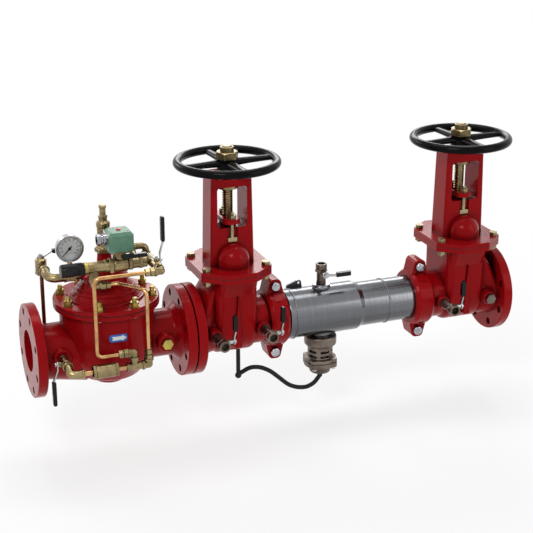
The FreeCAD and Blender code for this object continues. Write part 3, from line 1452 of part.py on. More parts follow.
def beaded_elbow(corner, first, second, first_reach, second_reach, radius):
    """Right-angled fitting with a bead at each mouth."""
    parts = [Part.makeSphere(radius, corner)]
    for direction, reach in ((first, first_reach), (second, second_reach)):
        parts.append(rod(radius, corner, direction, reach))
        parts.append(rod(radius + bead_rise, corner + direction * (reach - bead_length), direction,
                         bead_length))
    return fuse(parts)


def make_supply_fittings():
    """Bottom line in front of the body: port nipple, ball valve, strainer, tee and elbows."""
    y = -loop_depth
    level = -strainer_drop
    half_valve = small_valve_length / 2
    socket_depth = 15
    pieces = [rod(fitting_radius - running_gap, at(inlet_port_x, -port_face + socket_depth, 0), FRONT,
                  -supply_valve_y - half_valve - port_face + socket_depth)]
    pieces.append(small_ball_valve(at(inlet_port_x, supply_valve_y, 0), FRONT, BACK_ALONG))
    mouth = at(inlet_port_x, supply_valve_y - half_valve, 0)
    pieces.append(tube_run([mouth, mouth + FRONT * 6, at(inlet_port_x, y, level), at(stub_1_x, y, level)],
                           [12, 12], elbow_radius_brass))
    pieces.append(lathe([(0, 0, 0), (14, 0, 1), (14, 6, 1), (17, 8, 2), (17, strainer_length - 8, 2),
                         (14, strainer_length - 6, 1), (14, strainer_length, 1), (0, strainer_length, 0)],
                        at(strainer_x, y, level), ALONG))
    branch_x = tee_x + tee_length / 2
    tee_parts = [rod(fitting_radius, at(tee_x, y, level), ALONG, tee_length),
                 rod(fitting_radius, at(branch_x, y, level), UP, branch_height),
                 rod(fitting_radius + 2, at(tee_x, y, level), ALONG, 5),
                 rod(fitting_radius + 2, at(branch_x, y, level + branch_height - 5), UP, 5)]
    pieces.append(fuse(tee_parts))
    knee = level + branch_height + elbow_reach
    pieces.append(beaded_elbow(at(branch_x, y, knee), DOWN, BACK_ALONG, elbow_reach, elbow_reach,
                               fitting_radius))
    pieces.append(union(at(branch_x - elbow_reach, y, knee), BACK_ALONG, union_length, union_flats))
    corner = at(loop_tube_b_x, y, level)
    reach = loop_tube_b_x - tee_x - tee_length
    pieces.append(beaded_elbow(corner, BACK_ALONG, UP, reach, reach, fitting_radius))
    pieces.append(union(corner + UP * reach, UP, union_length, union_flats))
    return pieces


def make_pilot_line():
    """Pilot line above the cover: regulator, solenoid valve body, junction and its elbows."""
    y = -pilot_depth
    z = pilot_height
    half_valve = small_valve_length / 2
    length = solenoid_body_x - pilot_ring_x
    regulator = lathe([(0, 0, 0), (14.5, 0, 1), (14.5, 8, 1), (13.5, 9, 0), (13.5, 48, 0), (15.5, 50, 1),
                       (15.5, length, 1), (0, length, 0)], at(pilot_ring_x, y, z), ALONG)
    knee = at(regulator_branch_x, y, tube_b_height)
    branch_foot = tube_b_height + elbow_reach
    pieces = [fuse([regulator, rod(branch_radius, at(regulator_branch_x, y, branch_foot), UP,
                                   z - branch_foot)])]
    pieces.append(beaded_elbow(knee, UP, ALONG, elbow_reach, elbow_reach, fitting_radius))
    pieces.append(union(knee + ALONG * elbow_reach, ALONG, union_length, union_flats))
    body_length = junction_x - small_valve_half - solenoid_body_x
    block = lathe([(0, 0, 0), (17, 0, 2), (17, 32, 2), (13, 35, 1), (13, body_length, 1),
                   (0, body_length, 0)],
                  at(solenoid_body_x, y, z), ALONG)
    pedestal = rod(pedestal_radius, at(solenoid_x, -solenoid_y, z), UP, solenoid_bottom - z - 4)
    deck_half = solenoid_half - 5
    deck = slab(rectangle(deck_half, deck_half, 5, solenoid_x, -solenoid_y), "plan", solenoid_bottom - 5,
                solenoid_bottom)
    arch_x = solenoid_x + solenoid_half + 10
    arch = tube_run([at(arch_x, y + 12, z), at(arch_x, arch_y, arch_height),
                     at(junction_x, arch_y, arch_height),
                     at(junction_x, arch_y, z + arch_elbow_reach)], [12, 12], 8)
    pieces.append(fuse([block, pedestal, deck, arch]))
    pieces.append(beaded_elbow(at(junction_x, arch_y, z), UP, FRONT, arch_elbow_reach,
                               arch_y - y - half_valve, 8.5))
    valves = pilot_valves()
    for name in ("outlet", "pilot"):
        pieces.append(small_ball_valve(*valves[name][:3]))
    corner = at(junction_x, -loop_depth, z)
    reach = loop_depth + pilot_valve_y - half_valve
    pieces.append(beaded_elbow(corner, REAR, BACK_ALONG, reach, reach, fitting_radius))
    pieces.append(union(corner - ALONG * reach, BACK_ALONG, union_length, union_flats))
    return pieces


def make_gauge_line():
    """Rear riser's fittings, its valve, the forward nipple and the gauge tee on the cover's boss."""
    rear = at(riser_x, riser_y, 0)
    pieces = [beaded_elbow(rear, FRONT, UP, riser_y - port_face, riser_y - port_face, fitting_radius)]
    valve_bottom = riser_top
    body = lathe([(0, 0, 0), (11, 0, 1), (11, 8, 1), (14, 10, 2), (14, 38, 2), (9, 42, 2), (9, 52, 1),
                  (0, 52, 0)],
                 at(riser_x, riser_y, valve_bottom), UP)
    boss = rod(small_boss_radius, at(riser_x, riser_y, valve_bottom + riser_valve_rise), UP,
               small_valve_half + small_valve_boss)
    front = rod(10.5, at(riser_x, riser_y, gauge_line_height + 8), FRONT, 20)
    stem_top = valve_bottom + riser_valve_rise + small_valve_half + small_valve_boss
    keep = Part.makeBox(60, 60, stem_top - valve_bottom, at(riser_x - 30, riser_y - 30, valve_bottom))
    body = body.common(keep)
    body = fuse([body, boss, front])
    body = body.cut(rod(small_stem_radius + running_gap, at(riser_x, riser_y, stem_top - 7), UP, 20))
    body = body.cut(rod(riser_radius + running_gap, at(riser_x, riser_y, valve_bottom - 1), UP,
                        tube_insert + 1))
    pieces.append(body)
    nipple_start = at(riser_x, riser_y - 20, gauge_line_height + 8)
    pieces.append(rod(8, nipple_start, FRONT, 18))
    bend_start = nipple_start + FRONT * 18
    pieces.append(tube_run([bend_start, bend_start + FRONT * 6, at(riser_x, gauge_y, gauge_line_height),
                            at(gauge_tee_x, gauge_y, gauge_line_height)], [20, 20], 10.5))
    tee = hexagon(gauge_tee_flats, at(gauge_tee_x, gauge_y, gauge_line_height), ALONG, gauge_tee_flats)
    branch = hexagon(gauge_branch_flats, at(gauge_x, gauge_y, gauge_line_height), UP, gauge_branch_height)
    pieces.append(fuse([tee, branch]))
    tee_end = gauge_tee_x + gauge_tee_flats
    pieces.append(rod(fitting_radius, at(tee_end, gauge_y, gauge_line_height), ALONG,
                      cover_boss_x - tee_end))
    return pieces


def make_fittings():
    """All brass fittings of the pilot and supply lines, and the port plugs."""
    plugs = [hexagon(plug_flats, at(outlet_port_x, -port_face, 0), FRONT, plug_height)]
    port_x, reach = cock_ports(stem_2_x, 1)[0]
    plugs.append(hexagon(plug_flats, at(port_x, -reach, 0), FRONT, plug_height + 1))
    return make_supply_fittings() + make_pilot_line() + make_gauge_line() + plugs


def make_copper_tubes():
    """The two bent tubes in front of the cover, the stubs of the bottom line and the rear riser."""
    a = loop_tube_a_x
    b = loop_tube_b_x
    y = -loop_depth
    level = -strainer_drop
    knee = level + branch_height + elbow_reach
    right = junction_x - (loop_depth + pilot_valve_y - small_valve_length / 2) - union_length + tube_insert
    left_end = tee_x + tee_length / 2 - elbow_reach - union_length + tube_insert
    tube_a = tube_run([at(right, y, pilot_height), at(a, y, pilot_height), at(a, y, knee),
                       at(left_end, y, knee)],
                      [tube_bend, tube_bend], tube_radius)
    b_start = regulator_branch_x + elbow_reach + union_length - tube_insert
    b_foot = level + loop_tube_b_x - tee_x - tee_length + union_length - tube_insert
    tube_b = tube_run([at(b_start, -pilot_depth, tube_b_height),
                       at(b_start + tube_insert + tube_b_straight, -pilot_depth, tube_b_height),
                       at(b, y, tube_b_height + 4), at(b, y, b_foot)], [20, tube_bend], tube_radius)
    stub_1 = rod(6, at(stub_1_x, y, level), ALONG, strainer_x - stub_1_x)
    stub_2 = rod(6, at(strainer_x + strainer_length, y, level), ALONG, tee_x - strainer_x - strainer_length)
    riser_foot = riser_y - port_face
    riser = rod(riser_radius, at(riser_x, riser_y, riser_foot), UP,
                riser_top + tube_insert - riser_foot - running_gap)
    return [tube_a, tube_b, stub_1, stub_2, riser]


def make_solenoid():
    """Coil box with a chamfered top, its lamp and the conduit hub."""
    low = solenoid_bottom + running_gap
    box = slab(rectangle(solenoid_half, solenoid_half, 7, solenoid_x, -solenoid_y), "plan", low,
               solenoid_top - 7)
    top_low = outline(rectangle(solenoid_half, solenoid_half, 7, solenoid_x, -solenoid_y), "plan",
                      solenoid_top - 7)
    top_half = solenoid_half - 7
    top_high = outline(rectangle(top_half, top_half, 4, solenoid_x, -solenoid_y), "plan", solenoid_top)
    top = Part.makeLoft([top_low, top_high], True, True)
    hub_start = at(solenoid_x - solenoid_half + 1, -solenoid_y, solenoid_bottom + 27)
    hub = lathe([(0, 0, 0), (13, 0, 1), (13, 9, 1), (10.5, 10, 0), (10.5, 14, 0), (13.5, 15, 1),
                 (13.5, 24, 1),
                 (8, 24, 0), (8, 10, 0), (0, 10, 0)], hub_start, BACK_ALONG)
    lamp = rod(3.5, at(solenoid_x, -solenoid_y, solenoid_top - 1), UP, 2.2)
    return fuse([box, top, hub, lamp])


def make_pilot_cap():
    """Ribbed black cap over the pilot's adjusting screw."""
    length = pilot_ring_x - soft_gap - pilot_cap_x
    origin = at(pilot_cap_x, -pilot_depth, pilot_height)
    cap = lathe([(0, 0, 0), (pilot_cap_radius, 0, 2.5), (pilot_cap_radius, length * 0.68, 1),
                 (pilot_cap_radius - 1.2, length * 0.7, 0), (pilot_cap_radius - 1.2, length, 1),
                 (0, length, 0)],
                origin, ALONG)
    grooves = []
    for y, z in around(pilot_cap_groove_count, pilot_cap_radius + 0.6, 0):
        grooves.append(rod(1.6, origin + at(3, y, z), ALONG, length * 0.58))
    return cut(cap, grooves)


def make_gauge_case():
    """Gauge case with a stepped rim and its stem."""
    case = lathe([(0, 0, 0), (gauge_radius - 3, 0, 3), (gauge_radius - 3, gauge_depth - 8, 0),
                  (gauge_radius, gauge_depth - 8, 1), (gauge_radius, gauge_depth, 1.5),
                  (gauge_radius - 3, gauge_depth, 0), (gauge_radius - 3, gauge_depth - 5, 0),
                  (0, gauge_depth - 5, 0)],
                 at(gauge_x, gauge_y + gauge_depth / 2, gauge_height), FRONT)
    stem_foot = gauge_line_height + gauge_branch_height
    stem = rod(6, at(gauge_x, gauge_y, stem_foot), UP, gauge_height - gauge_radius + 5 - stem_foot)
    pin_way = rod(1.5, at(gauge_x, gauge_y - 20, gauge_height), REAR, 22)
    return fuse([case, stem]).cut(pin_way)


def make_gauge_pointer():
    """Pointer and its spindle."""
    dial_y = gauge_y - gauge_depth / 2 + 5
    spindle = rod(1.5 - running_gap, at(gauge_x, dial_y + 6, gauge_height), FRONT, 9)
    tail = gauge_height - pointer_tail
    tip = gauge_height + pointer_reach
    blade = slab([(gauge_x - 1.5, tail, 0), (gauge_x + 1.5, tail, 0), (gauge_x + 0.5, tip, 0),
                  (gauge_x - 0.5, tip, 0)], "front", dial_y - 2.2, dial_y - 1.2)
    hub = rod(3.2, at(gauge_x, dial_y - 0.8, gauge_height), FRONT, 2)
    pointer = fuse([spindle, blade, hub])
    pointer.rotate(at(gauge_x, 0, gauge_height), REAR, gauge_rest_turn)
    return pointer


def save(name, pieces):
    """Write one sub-part; a list of pieces stays a group of separate solids."""
    shape = Part.Compound(pieces) if isinstance(pieces, list) else pieces
    shape.exportStep("parts/" + name + ".step")


def main():
    os.makedirs("parts", exist_ok=True)
    save("control_valve_body", make_control_body())
    save("main_seat_ring", make_seat_ring())
    save("control_valve_cover", make_control_cover())
    save("main_diaphragm", make_main_diaphragm())
    save("main_valve_disc", make_main_disc())
    save("main_valve_stem", make_main_stem())
    save("main_spring", make_main_spring())
    save("indicator_housing", make_indicator())
    save("cover_studs", make_cover_studs())
    for name, (stem_x, side) in gates.items():
        save("gate_body_" + name, make_gate_body(stem_x, side))
        save("gate_bonnet_" + name, make_bonnet(stem_x))
        save("gate_stem_" + name, make_gate_stem(stem_x))
        save("gate_wedge_" + name, make_wedge(stem_x))
        save("yoke_sleeve_" + name, make_sleeve(stem_x))
        save("handwheel_" + name, make_handwheel(stem_x))
        save("wheel_nut_" + name, make_wheel_nut(stem_x))
        save("gland_follower_" + name, make_gland(stem_x))
    save("gland_bolts", make_gland_bolts())
    save("stem_packings", make_packings())
    save("flat_gaskets", make_gaskets())
    save("bonnet_bolts", make_bonnet_bolts())
    for name, centre_x in coupling_centres.items():
        save("coupling_" + name + "_halves", make_coupling_halves(centre_x))
    save("coupling_gaskets", make_coupling_gaskets())
    save("coupling_bolts", make_coupling_bolts())
    save("check_housing", make_housing())
    save("check_seat_rings", make_check_seats())
    for name, (seat_x, radius) in check_places().items():
        save("check_clapper_" + name, make_clapper(seat_x))
    save("relief_valve_body", make_relief_body())
    save("relief_valve_cover", make_relief_cover())
    save("relief_diaphragm", make_relief_diaphragm())
    save("relief_disc", make_relief_disc())
    save("relief_bolts", make_relief_bolts())
    save("relief_spring", make_relief_spring())
    save("sensing_hose", make_sensing_hose())
    save("sensing_fittings", make_sensing_fittings())
    save("test_cock_bodies", make_cock_bodies())
    for name, place in cock_places().items():
        save("test_cock_lever_" + name, make_cock_lever(*place))
    for name, (centre, flow, side, arm, length, rise) in pilot_valves().items():
        save("pilot_lever_" + name, make_pilot_lever(lever_pivot(centre, side), side, arm, length, rise))
    save("brass_fittings", make_fittings())
    save("copper_tubes", make_copper_tubes())
    save("solenoid_coil", make_solenoid())
    save("pilot_cap", make_pilot_cap())
    save("pressure_gauge", make_gauge_case())
    save("gauge_pointer", make_gauge_pointer())


main()
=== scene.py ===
import json
import math

import bmesh
import bpy
from mathutils import Matrix, Vector


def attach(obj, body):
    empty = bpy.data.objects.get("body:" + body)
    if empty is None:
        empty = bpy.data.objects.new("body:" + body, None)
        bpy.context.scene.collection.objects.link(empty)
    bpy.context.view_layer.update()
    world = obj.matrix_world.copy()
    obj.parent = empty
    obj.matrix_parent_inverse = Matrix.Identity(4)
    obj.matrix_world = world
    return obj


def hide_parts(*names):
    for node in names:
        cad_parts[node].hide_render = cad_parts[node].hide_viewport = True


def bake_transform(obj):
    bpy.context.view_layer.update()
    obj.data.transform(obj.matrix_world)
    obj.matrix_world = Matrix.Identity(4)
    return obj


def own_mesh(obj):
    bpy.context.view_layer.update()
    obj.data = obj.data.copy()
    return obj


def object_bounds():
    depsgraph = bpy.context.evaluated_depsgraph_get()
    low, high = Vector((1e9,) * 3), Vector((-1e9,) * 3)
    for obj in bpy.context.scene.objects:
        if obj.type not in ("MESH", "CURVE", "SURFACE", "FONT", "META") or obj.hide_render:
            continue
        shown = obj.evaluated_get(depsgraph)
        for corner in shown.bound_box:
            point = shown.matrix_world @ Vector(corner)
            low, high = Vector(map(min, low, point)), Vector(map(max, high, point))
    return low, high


# Metres. +X runs with the flow, +Z is up and -Y is the side with the gauge and test cocks.
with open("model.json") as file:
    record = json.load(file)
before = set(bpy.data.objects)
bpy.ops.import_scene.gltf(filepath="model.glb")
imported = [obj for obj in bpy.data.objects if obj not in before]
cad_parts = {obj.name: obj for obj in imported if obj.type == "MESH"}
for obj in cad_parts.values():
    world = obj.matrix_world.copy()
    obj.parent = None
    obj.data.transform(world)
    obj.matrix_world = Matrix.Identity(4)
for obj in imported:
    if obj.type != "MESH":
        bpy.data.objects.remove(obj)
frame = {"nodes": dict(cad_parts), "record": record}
cad_low, cad_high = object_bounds()

NODES = frame["nodes"]

# Camera, solved from the round flanges, stems and wheels in the photograph
CAMERA_PLACE = (-0.54094, -2.99050, 1.28291)
CAMERA_RIGHT = (0.933328, -0.359023, 0.0)
CAMERA_UP = (0.121020, 0.314639, 0.941465)
CAMERA_BACK = (-0.338012, -0.878695, 0.337111)
CAMERA_LENS = 91.65
SENSOR_WIDTH = 36.0
CLIP_END = 200.0

# Lights: place, width and height of the soft box, and watts. All look at the middle of the object.
LIGHTS = {
    "key": ((-1.2, -2.3, 2.5), (1.3, 0.9), 46),
    "fill": ((2.7, -2.2, 1.1), (1.4, 1.8), 15),
    "top": ((0.7, 0.5, 2.8), (2.4, 0.9), 30),
    "rim": ((1.7, 2.6, 1.5), (1.8, 0.8), 24),
    "back": ((-1.0, 2.6, 1.4), (1.4, 0.8), 16),
}
LIGHTS_LOOK_AT = (0.6, 0.0, 0.1)

# Places along the pipe, as the solids have them
CONTROL_X = 0.195
STEM_X = {"1": 0.5073, "2": 1.1443}
HOUSING_X = 0.6246
RELIEF_X = 0.759

# Rising stems: head, neck, and an outside thread from above the gland to the top
STEM_FOOT = 0.034
STEM_HEAD_TOP = 0.044
STEM_NECK = 0.046
STEM_THREAD_START = 0.283
STEM_TOP = 0.458
STEM_RADIUS = 0.013
STEM_HEAD_RADIUS = 0.019
STEM_ROOT_RADIUS = 0.0112
STEM_PITCH = 0.006
STEM_RUN_IN = 0.004
STEM_RUN_OUT = 0.003
STEM_CHAMFER = 0.002

# Shares of a thread's pitch that its flanks and its crest take, and of a fine thread's depth
THREAD_RAMP = 0.17
THREAD_CREST = 0.33
FINE_THREAD_DEPTH = 0.28
FINE_THREAD_INWARD = 0.4

# Gauge: its centre, the depths of its dial and window, and the scale printed on it
GAUGE_CENTRE = (0.113, 0.243)
DIAL_FACE_Y = 0.0049
DIAL_RADIUS = 0.0305
GLASS_Y = 0.0012
GLASS_THICKNESS = 0.0008
GLASS_IOR = 1.45
GLASS_SMUDGE_SCALE = 90.0
GLASS_ROUGHNESS = (0.01, 0.05)
DIAL_CENTRE_RADIUS = 0.0008
DIAL_PIECES = 60
DIAL_RIM_SHARE = 0.7
DIAL_ROUGHNESS = 0.5
DIAL_START_TURN = -135.0
DIAL_SWEEP = 270.0
DIAL_STEPS = 10
DIAL_MINOR = 5
DIAL_STEP_VALUE = 20
DIAL_LONG_MARK = 0.78
DIAL_SHORT_MARK = 0.85
DIAL_MARK_END = 0.93
DIAL_LONG_HALF_TURN = 0.9
DIAL_SHORT_HALF_TURN = 0.45
DIAL_MARK_HEIGHT = 0.0001
DIAL_NUMBER_CIRCLE = 0.64
DIAL_NUMBER_SIZE = 0.0050
DIAL_NUMBER_HEIGHT = 0.00005

# Flow plate on the control valve's front
PLATE_CENTRE = (0.1925, 0.048)
PLATE_HALF = (0.0215, 0.0095)
PLATE_THICKNESS = 0.0009
PLATE_CORNER_START = 0.55
PLATE_CORNER_INSET = 0.16
PLATE_TONE_SCALE = 300.0
PLATE_PRINT_HEIGHT = 0.0002
PLATE_ROUGHNESS = 0.32

# Adjusting cap of the pilot regulator: its axis, the ribbed part as places along it with the share
# of the ribs' height that they have there, and the hexagon by the ring
CAP_AXIS = (-0.075, 0.217)
CAP_RIB_COUNT = 12
CAP_RADIUS = 0.0151
CAP_RIB_HEIGHT = 0.0009
CAP_PROFILE = ((0.0735, -2.0), (0.0745, 0.0), (0.076, 1.0), (0.1025, 1.0), (0.1045, -1.0))
CAP_HEXAGON_X = 0.1075
CAP_HEXAGON_LENGTH = 0.0165
CAP_HEXAGON_FLATS = 0.030
CAP_HEXAGON_EDGE = 0.08

# Lamp on top of the solenoid's coil
LAMP_PLACE = (0.214, -0.068, 0.2998)
LAMP_PROFILE = ((0.0, 0.0052), (0.0016, 0.0052), (0.0026, 0.0044), (0.0032, 0.0028), (0.0034, 0.0008))
LAMP_SIDES = 32

# The arrow on the flow plate, in shares of its half length and half height
ARROW_TAIL = -0.86
ARROW_NOTCH = 0.26
ARROW_SHAFT = 0.52
ARROW_NECK = 0.42
ARROW_TIP = 0.92
ARROW_SLOPE = 1.7

# Cover studs, and the ring steps on the cover by radius and height
COVER_STUD_CIRCLE = 0.111
COVER_STUD_COUNT = 8
COVER_STUD_TURN = 22.5
COVER_STUD_RADIUS = 0.0056
COVER_NUT_TOP = 0.130
COVER_STUD_TOP = 0.1405
COVER_RINGS = ((0.0845, 0.1232), (0.0738, 0.1352), (0.0668, 0.1444))
COVER_RING_STEP = 0.0021
COVER_STUD_PITCH = 0.0015

# Weld seams: centre, axis, radius of the tube, size of the bead and number of its ripples
WELDS = (
    ("barrel_weld_0", (HOUSING_X + 0.047, 0, 0), (1, 0, 0), 0.0640, 0.0022, 110),
    ("barrel_weld_1", (HOUSING_X + 0.307, 0, 0), (1, 0, 0), 0.0577, 0.0022, 110),
    ("relief_port_weld", (RELIEF_X, 0, -0.0625), (0, 0, 1), 0.0285, 0.0020, 44),
    ("cock_port_weld", (RELIEF_X, 0, 0.0625), (0, 0, 1), 0.0226, 0.0020, 36),
)
WELD_RIPPLE = 0.22
WELD_FLATNESS = 0.55

# Test cocks: the boss face, the way out and the length of the body
COCKS = (((0.4463, -0.088, 0.0), (0, -1, 0), 0.062), ((0.5753, -0.076, 0.0), (0, -1, 0), 0.062),
         ((0.759, 0.0, 0.069), (0, 0, 1), 0.056), ((1.0763, -0.076, 0.0), (0, -1, 0), 0.062))
COCK_END_FLATS = 0.0272
COCK_END_SETBACK = 0.0225
COCK_END_LENGTH = 0.0075
COCK_END_EDGE = 0.15

# Hexagons and beads of the small fittings: start, direction, flats or radius, length and finish
HEXAGONS = (
    ((0.119, -0.152, -0.012), (1, 0, 0), 0.031, 0.007, "brass"),
    ((0.172, -0.152, -0.012), (1, 0, 0), 0.031, 0.007, "brass"),
    ((0.060, 0.093, 0.1555), (0, 0, 1), 0.026, 0.008, "brass"),
    ((0.186, -0.075, 0.217), (1, 0, 0), 0.034, 0.010, "brass"),
    ((0.232, -0.075, 0.217), (1, 0, 0), 0.030, 0.010, "brass"),
    ((0.258, -0.075, 0.217), (1, 0, 0), 0.028, 0.008, "brass"),
    ((0.195, 0.0, 0.311), (0, 0, 1), 0.019, 0.007, "brass"),
    ((0.195, 0.0, 0.2275), (0, 0, 1), 0.0395, 0.011, "brass"),
)
BEADS = (
    ((0.066, -0.1265, 0.0), (0, -1, 0), 0.0126, 0.005, "brass"),
    ((0.098, -0.152, -0.012), (-1, 0, 0), 0.0126, 0.005, "brass"),
    ((0.060, 0.055, 0.178), (0, -1, 0), 0.0130, 0.005, "brass"),
    ((0.102, 0.012, 0.170), (-1, 0, 0), 0.0130, 0.005, "brass"),
    ((0.759, 0.0, 0.0686), (0, 0, 1), 0.0232, 0.0035, "chrome_bolt"),
)
HEXAGON_EDGE = 0.12
BEAD_EDGE = 0.25
BEAD_SIDES = 40

# Thread of the supply line's nipple: start, direction, radius, length and pitch
SUPPLY_THREAD = ((0.066, -0.0782, 0.0), (0, -1, 0), 0.0094, 0.0074, 0.0015)

# Edges of new pieces that bend further than this many degrees stay sharp
SHARP_ANGLE = 35

# Levers: pivot, arm and where the moulded grip starts along it
LEVERS = {
    "test_cock_lever_1": ((0.4463, -0.122, 0.0), (0, 0, 1), 0.026),
    "test_cock_lever_2": ((0.5753, -0.110, 0.0), (0, 0, 1), 0.026),
    "test_cock_lever_3": ((0.759, 0.0, 0.103), (1, 0, 0), 0.026),
    "test_cock_lever_4": ((1.0763, -0.110, 0.0), (0, 0, 1), 0.026),
    "pilot_lever_supply": ((0.066, -0.106, 0.0), (0, 0, -1), 0.042),
    "pilot_lever_gauge": ((0.060, 0.093, 0.181), (1, 0, 0), 0.028),
    "pilot_lever_pilot": ((0.290, -0.116, 0.217), (-1, 0, 0), 0.022),
    "pilot_lever_outlet": ((0.290, -0.075, 0.217), (0, 0, 1), 0.044),
}

# Boxes of faces that have another finish than the rest of their node
REGIONS = (
    ("brass_fittings", (0.1265, -0.095, 0.198), (0.1354, -0.055, 0.236), "zinc_yellow"),
    ("brass_fittings", (1.190, -0.100, -0.018), (1.220, -0.087, 0.018), "bronze_grey"),
    ("copper_tubes", (0.050, 0.085, 0.0), (0.070, 0.100, 0.17), "riser_brown"),
    ("check_housing", (0.735, -0.024, 0.056), (0.783, 0.024, 0.071), "chrome_bolt"),
    ("main_valve_stem", (0.190, -0.004, 0.180), (0.200, 0.004, 0.28), "indicator_rod"),
    ("pressure_gauge", (0.101, 0.004, 0.185), (0.121, 0.020, 0.212), "copper"),
    ("solenoid_coil", (0.208, -0.074, 0.3001), (0.220, -0.062, 0.304), "lamp_red"),
    ("brass_fittings", (0.305, -0.0865, -0.016), (0.339, -0.0775, 0.016), "zinc_yellow"),
    ("solenoid_coil", (0.150, -0.085, 0.266), (0.1845, -0.050, 0.297), "chrome_bolt"),
)

# Floor: how far under the object, how wide, and where its own white takes over from the light on it
FLOOR_DROP = 0.09
FLOOR_SIZE = 60.0
FLOOR_PARTS = 8
FLOOR_CENTRE = (0.6, 0.0)
FLOOR_LIT = 0.6
FLOOR_WHITE = 1.8
FLOOR_LIFT = 0.55
FLOOR_GRAIN_SCALE = 3.0

# Light from all round: the heights between which it goes from grey to white, and its strength
SKY_BAND = (-0.1, 0.9)
SKY_STRENGTH = 0.5

# Patterns in the finishes: how fine they are, between which values they swing, how far the gloss wanders,
# and how near another surface has to be for the painted shade that darkens them
NOISE_ROUGHNESS = 0.55
SMOOTH_DETAIL = 2.0
GLOSS_BAND = (0.3, 0.7)
PATCH_BAND = (0.35, 0.7)
# Rays for the painted shade of the paint and metal finishes
SHADE_SAMPLES = 6
PAINT_PATCH_SCALE = 9.0
PAINT_PATCH_TONE = 0.86
# Painted shade on the enamels: how near another surface has to be, and the band it darkens across
PAINT_SHADE_REACH = 0.02
PAINT_SHADE_BAND = (0.25, 0.85)
PAINT_GLOSS_SCALE = 55.0
PAINT_GLOSS_SHARES = (0.8, 1.25)
PAINT_COAT_ROUGHNESS = 0.12
PEEL_SCALE = 70.0
PEEL_FINE_SCALE = 420.0
PEEL_FINE_SHARE = 0.25
METAL_PATCH_SCALE = 28.0
METAL_PATCH_BAND = (0.38, 0.66)
# Painted shade on the metals: how dark it is against their tint, how near another surface has to be, and the
# band it darkens across
METAL_SHADE_SHARE = 0.35
METAL_SHADE_REACH = 0.014
METAL_SHADE_BAND = (0.2, 0.8)
METAL_GLOSS_SCALE = 120.0
METAL_GLOSS_SHARES = (0.75, 1.3)
METAL_GRAIN_SCALE = 300.0
BRUSHED_RINGS = (260.0, 2.0, 2.0)
BRUSHED_STREAKS = (0.5, 9.0, 9.0)
BRUSHED_DARK_SHARE = 0.35
BRUSHED_ROUGHNESS = (0.16, 0.24)
BRUSHED_DEPTH = 0.00003
MOULDED_PATCH_SCALE = 40.0
MOULDED_GLOSS_SCALE = 160.0
MOULDED_GLOSS_SHARES = (0.8, 1.2)
MOULDED_GRAIN_SCALE = 900.0
MOULDED_GLEAM = 0.2


def add_camera():
    """The photograph's camera."""
    camera = bpy.data.objects.new("camera", bpy.data.cameras.new("camera"))
    bpy.context.scene.collection.objects.link(camera)
    columns = [Vector(CAMERA_RIGHT), Vector(CAMERA_UP), Vector(CAMERA_BACK)]
    turn = Matrix(columns).transposed().to_4x4()
    camera.matrix_world = Matrix.Translation(CAMERA_PLACE) @ turn
    camera.data.lens = CAMERA_LENS
    camera.data.sensor_width = SENSOR_WIDTH
    camera.data.clip_end = CLIP_END
    bpy.context.scene.camera = camera


def add_lights():
    """Soft boxes round the object, all turned to its middle."""
    for name, (place, size, watts) in LIGHTS.items():
        light = bpy.data.lights.new(name, "AREA")
        light.shape = "RECTANGLE"
        light.size, light.size_y = size
        light.energy = watts
        lamp = bpy.data.objects.new(name, light)
        lamp.location = place
        sight = Vector(LIGHTS_LOOK_AT) - Vector(place)
        lamp.rotation_euler = sight.to_track_quat("-Z", "Y").to_euler()
        bpy.context.scene.collection.objects.link(lamp)


